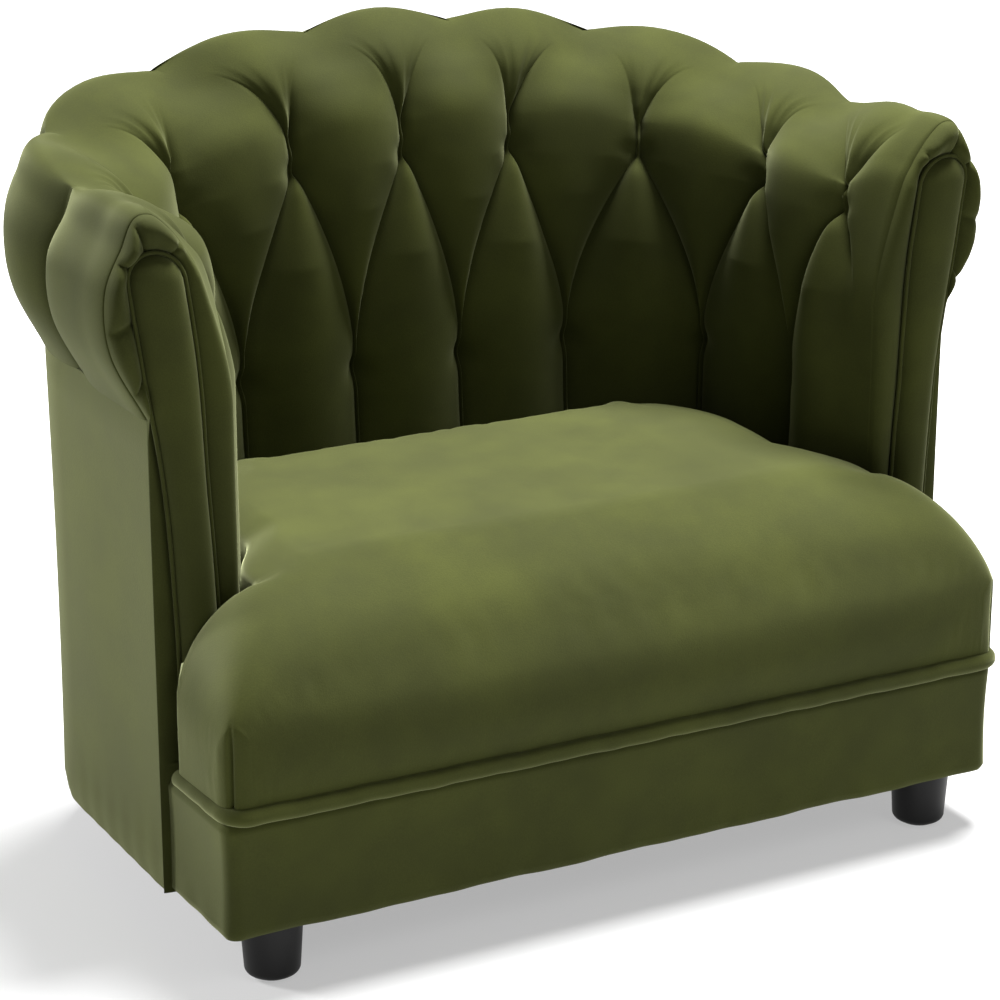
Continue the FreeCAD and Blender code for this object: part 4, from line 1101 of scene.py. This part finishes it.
def make_deck_and_linings():
    """The wadded deck under the seat, the lining under the seat and the one under the base, each on a T."""
    sizes = bpy.context.scene.loveseat_sizes
    stem = np.subtract(outline("pad_back", sizes), 0.004)
    edge = tee_edge(DECK_LOW, DECK_HIGH, stem, FRONT_HIGH[1] - 0.002)
    deck = soft_plate("seat_deck_pad", edge, DECK_LOW[2], DECK_HIGH[2], 0.010, 0.006, finish("wadding"))
    place(deck, "frame", ["deck_pad"])
    stem = (NECK - 0.005, UNDERSIDE_HIGH[1], SEAT_CORNER - 0.004)
    edge = tee_edge(UNDERSIDE_LOW, UNDERSIDE_HIGH, stem, NECK_Y)
    low, high = SEAT_LOW[2] - 0.0008, SEAT_LOW[2] + 0.0002
    lining = soft_plate("seat_underside_lining", edge, low, high, 0.0004, 0.0, finish("lining"))
    place(lining, "cushion", ["seat_underside"])
    stem = (DUST_HIGH[0], DUST_HIGH[1], PANEL_CORNER - 0.008)
    bar_low, bar_high = (0.0, DUST_LOW[1]), (BORDER_HIGH[0] - 0.011, 0.0)
    edge = tee_edge(bar_low, bar_high, stem, FRONT_HIGH[1] + 0.010)
    dust = soft_plate("base_dust_lining", edge, DUST_LOW[2], DUST_HIGH[2], 0.0006, 0.0, finish("lining"))
    place(dust, "frame", ["dust_cover"])


# Frame finishes

def dress_frame():
    """Gives every CAD node that stays its own finish, by its material slot."""
    slots = {part["node"]: part["material_slot"] for part in frame["record"]["subparts"]}
    for node, thing in frame["nodes"].items():
        if not thing.hide_render:
            thing.data.materials.clear()
            thing.data.materials.append(finish(slots[node]))


# Studio

def make_camera():
    """The photograph's view: from the front left, a little above the arms. The focal length is in picture
    widths."""
    yaw, pitch = math.radians(28.32), math.radians(18.35)
    distance, focal = 3.533, 3.121
    aim = Vector((0.015, 0.017, 0.363))
    back = Vector((-math.sin(yaw) * math.cos(pitch), -math.cos(yaw) * math.cos(pitch), math.sin(pitch)))
    right = Vector((math.cos(yaw), -math.sin(yaw), 0.0))
    data = bpy.data.cameras.new("photo_view")
    data.sensor_width = 36.0
    data.sensor_fit = "HORIZONTAL"
    data.lens = focal * data.sensor_width
    camera = bpy.data.objects.new("photo_view", data)
    turn = Matrix((right, back.cross(right), back)).transposed()
    camera.matrix_world = Matrix.Translation(aim + back * distance) @ turn.to_4x4()
    bpy.context.scene.collection.objects.link(camera)
    bpy.context.scene.camera = camera


def add_light(name, place_at, size, power, target=(0.0, 0.0, 0.4)):
    """A round soft lamp that faces the seat."""
    data = bpy.data.lights.new(name, "AREA")
    data.shape = "DISK"
    data.size = size
    data.energy = power
    light = bpy.data.objects.new(name, data)
    aim = Vector(target) - Vector(place_at)
    light.location = place_at
    light.rotation_euler = aim.to_track_quat("-Z", "Y").to_euler()
    bpy.context.scene.collection.objects.link(light)


def seen_directly(tree):
    """A socket that is 1 where a surface is seen by the camera or in a shine, and 0 where it gives light."""
    path = add_node(tree, "ShaderNodeLightPath")
    rays = [(path.outputs["Is Camera Ray"], 0), (path.outputs["Is Glossy Ray"], 1)]
    return add_node(tree, "ShaderNodeMath", rays, operation="MAXIMUM").outputs["Value"]


def make_stage():
    """A pale floor that keeps the shadow and glows to white further out, a world that is white to the camera
    and gives little light, and three soft lamps."""
    scene = bpy.context.scene
    scene.view_settings.view_transform = "Standard"
    side = 14.0
    corners = [(-side, -side, 0), (side, -side, 0), (side, side, 0), (-side, side, 0)]
    mesh = bpy.data.meshes.new("studio_floor")
    mesh.from_pydata(corners, [], [(0, 1, 2, 3)])
    floor = bpy.data.objects.new("studio_floor", mesh)
    floor.location.z = -0.0005
    scene.collection.objects.link(floor)
    material, tree, shader, spot = new_material("white_studio_floor")
    shader["Base Color"].default_value = linear("#b4b4b4")
    shader["Roughness"].default_value = 0.9
    shader["Emission Color"].default_value = linear("#ffffff")
    seen = seen_directly(tree)
    away = add_node(tree, "ShaderNodeVectorMath", [(spot, 0)], operation="LENGTH")
    fade = add_node(tree, "ShaderNodeMapRange", [(away.outputs["Value"], "Value")],
                    from_min=0.6, from_max=2.0, to_min=0.42, to_max=1.0)
    add_node(tree, "ShaderNodeMath", [(seen, 0), (fade.outputs["Result"], 1)],
             [("Value", shader["Emission Strength"])], operation="MULTIPLY")
    mesh.materials.append(material)
    world = bpy.data.worlds.new("white_studio")
    scene.world = world
    world.use_nodes = True
    tree = world.node_tree
    lit = tree.nodes["Background"]
    lit.inputs["Color"].default_value = linear("#ffffff")
    lit.inputs["Strength"].default_value = 0.08
    shown = add_node(tree, "ShaderNodeBackground", strength=1.0)
    shown.inputs["Color"].default_value = linear("#ffffff")
    add_node(tree, "ShaderNodeMixShader", [(seen_directly(tree), "Fac"), (lit.outputs["Background"], 1),
                                           (shown.outputs["Background"], 2)],
             [("Shader", tree.nodes["World Output"].inputs["Surface"])])
    add_light("overhead", (1.30, 0.55, 6.2), 2.4, 1150.0)
    add_light("left_window", (-2.6, 2.2, 1.70), 0.8, 100.0)
    add_light("front_fill", (0.6, -2.4, 2.3), 1.5, 13.0)


# Operators

class LOVESEAT_OT_stage(bpy.types.Operator):
    """Makes the studio and the camera at the photograph's view"""
    bl_idname = "loveseat.stage"
    bl_label = "Studio and camera"

    def execute(self, context):
        make_stage()
        make_camera()
        return {"FINISHED"}


class LOVESEAT_OT_pads(bpy.types.Operator):
    """Makes the tufted back and arms, rolled over the rim in scallops"""
    bl_idname = "loveseat.pads"
    bl_label = "Tufted back and arms"

    def execute(self, context):
        make_tufted_pad()
        return {"FINISHED"}


class LOVESEAT_OT_seat(bpy.types.Operator):
    """Makes the lift-out seat cushion and its welt"""
    bl_idname = "loveseat.seat"
    bl_label = "Seat cushion"

    def execute(self, context):
        make_seat()
        make_welt()
        return {"FINISHED"}


class LOVESEAT_OT_covers(bpy.types.Operator):
    """Makes the plain outer cover and the front border"""
    bl_idname = "loveseat.covers"
    bl_label = "Outer covers"

    def execute(self, context):
        make_outer_cover()
        make_border()
        return {"FINISHED"}


class LOVESEAT_OT_arm_fronts(bpy.types.Operator):
    """Makes the gathered arm fronts, the facings and their piping"""
    bl_idname = "loveseat.arm_fronts"
    bl_label = "Arm fronts"

    def execute(self, context):
        make_arm_fronts()
        make_facings()
        return {"FINISHED"}


class LOVESEAT_OT_hidden(bpy.types.Operator):
    """Makes the deck, the linings and the uprights in the arm fronts"""
    bl_idname = "loveseat.hidden"
    bl_label = "Deck and linings"

    def execute(self, context):
        make_stumps()
        make_deck_and_linings()
        return {"FINISHED"}


class LOVESEAT_OT_frame(bpy.types.Operator):
    """Gives the frame, feet and hardware their finishes"""
    bl_idname = "loveseat.frame"
    bl_label = "Frame finishes"

    def execute(self, context):
        dress_frame()
        return {"FINISHED"}


class LOVESEAT_PT_panel(bpy.types.Panel):
    """Lists the loveseat's pieces in the sidebar"""
    bl_label = "Tub loveseat"
    bl_idname = "LOVESEAT_PT_panel"
    bl_space_type = "VIEW_3D"
    bl_region_type = "UI"
    bl_category = "Loveseat"

    def draw(self, context):
        for step in STEPS:
            self.layout.operator(step.bl_idname)
        for group in (context.scene.loveseat_sizes, context.scene.loveseat_colours):
            for name in group.__annotations__:
                self.layout.prop(group, name)


STEPS = (LOVESEAT_OT_stage, LOVESEAT_OT_pads, LOVESEAT_OT_seat, LOVESEAT_OT_covers, LOVESEAT_OT_arm_fronts,
         LOVESEAT_OT_hidden, LOVESEAT_OT_frame)
CLASSES = (LoveseatSizes, LoveseatColours) + STEPS + (LOVESEAT_PT_panel,)


def register():
    for kind in CLASSES:
        bpy.utils.register_class(kind)
    bpy.types.Scene.loveseat_sizes = bpy.props.PointerProperty(type=LoveseatSizes)
    bpy.types.Scene.loveseat_colours = bpy.props.PointerProperty(type=LoveseatColours)


def unregister():
    del bpy.types.Scene.loveseat_colours
    del bpy.types.Scene.loveseat_sizes
    for kind in reversed(CLASSES):
        bpy.utils.unregister_class(kind)


def main():
    register()
    bpy.ops.loveseat.stage()
    bpy.ops.loveseat.pads()
    bpy.ops.loveseat.seat()
    bpy.ops.loveseat.covers()
    bpy.ops.loveseat.arm_fronts()
    bpy.ops.loveseat.hidden()
    bpy.ops.loveseat.frame()


if __name__ == "__main__":
    main()
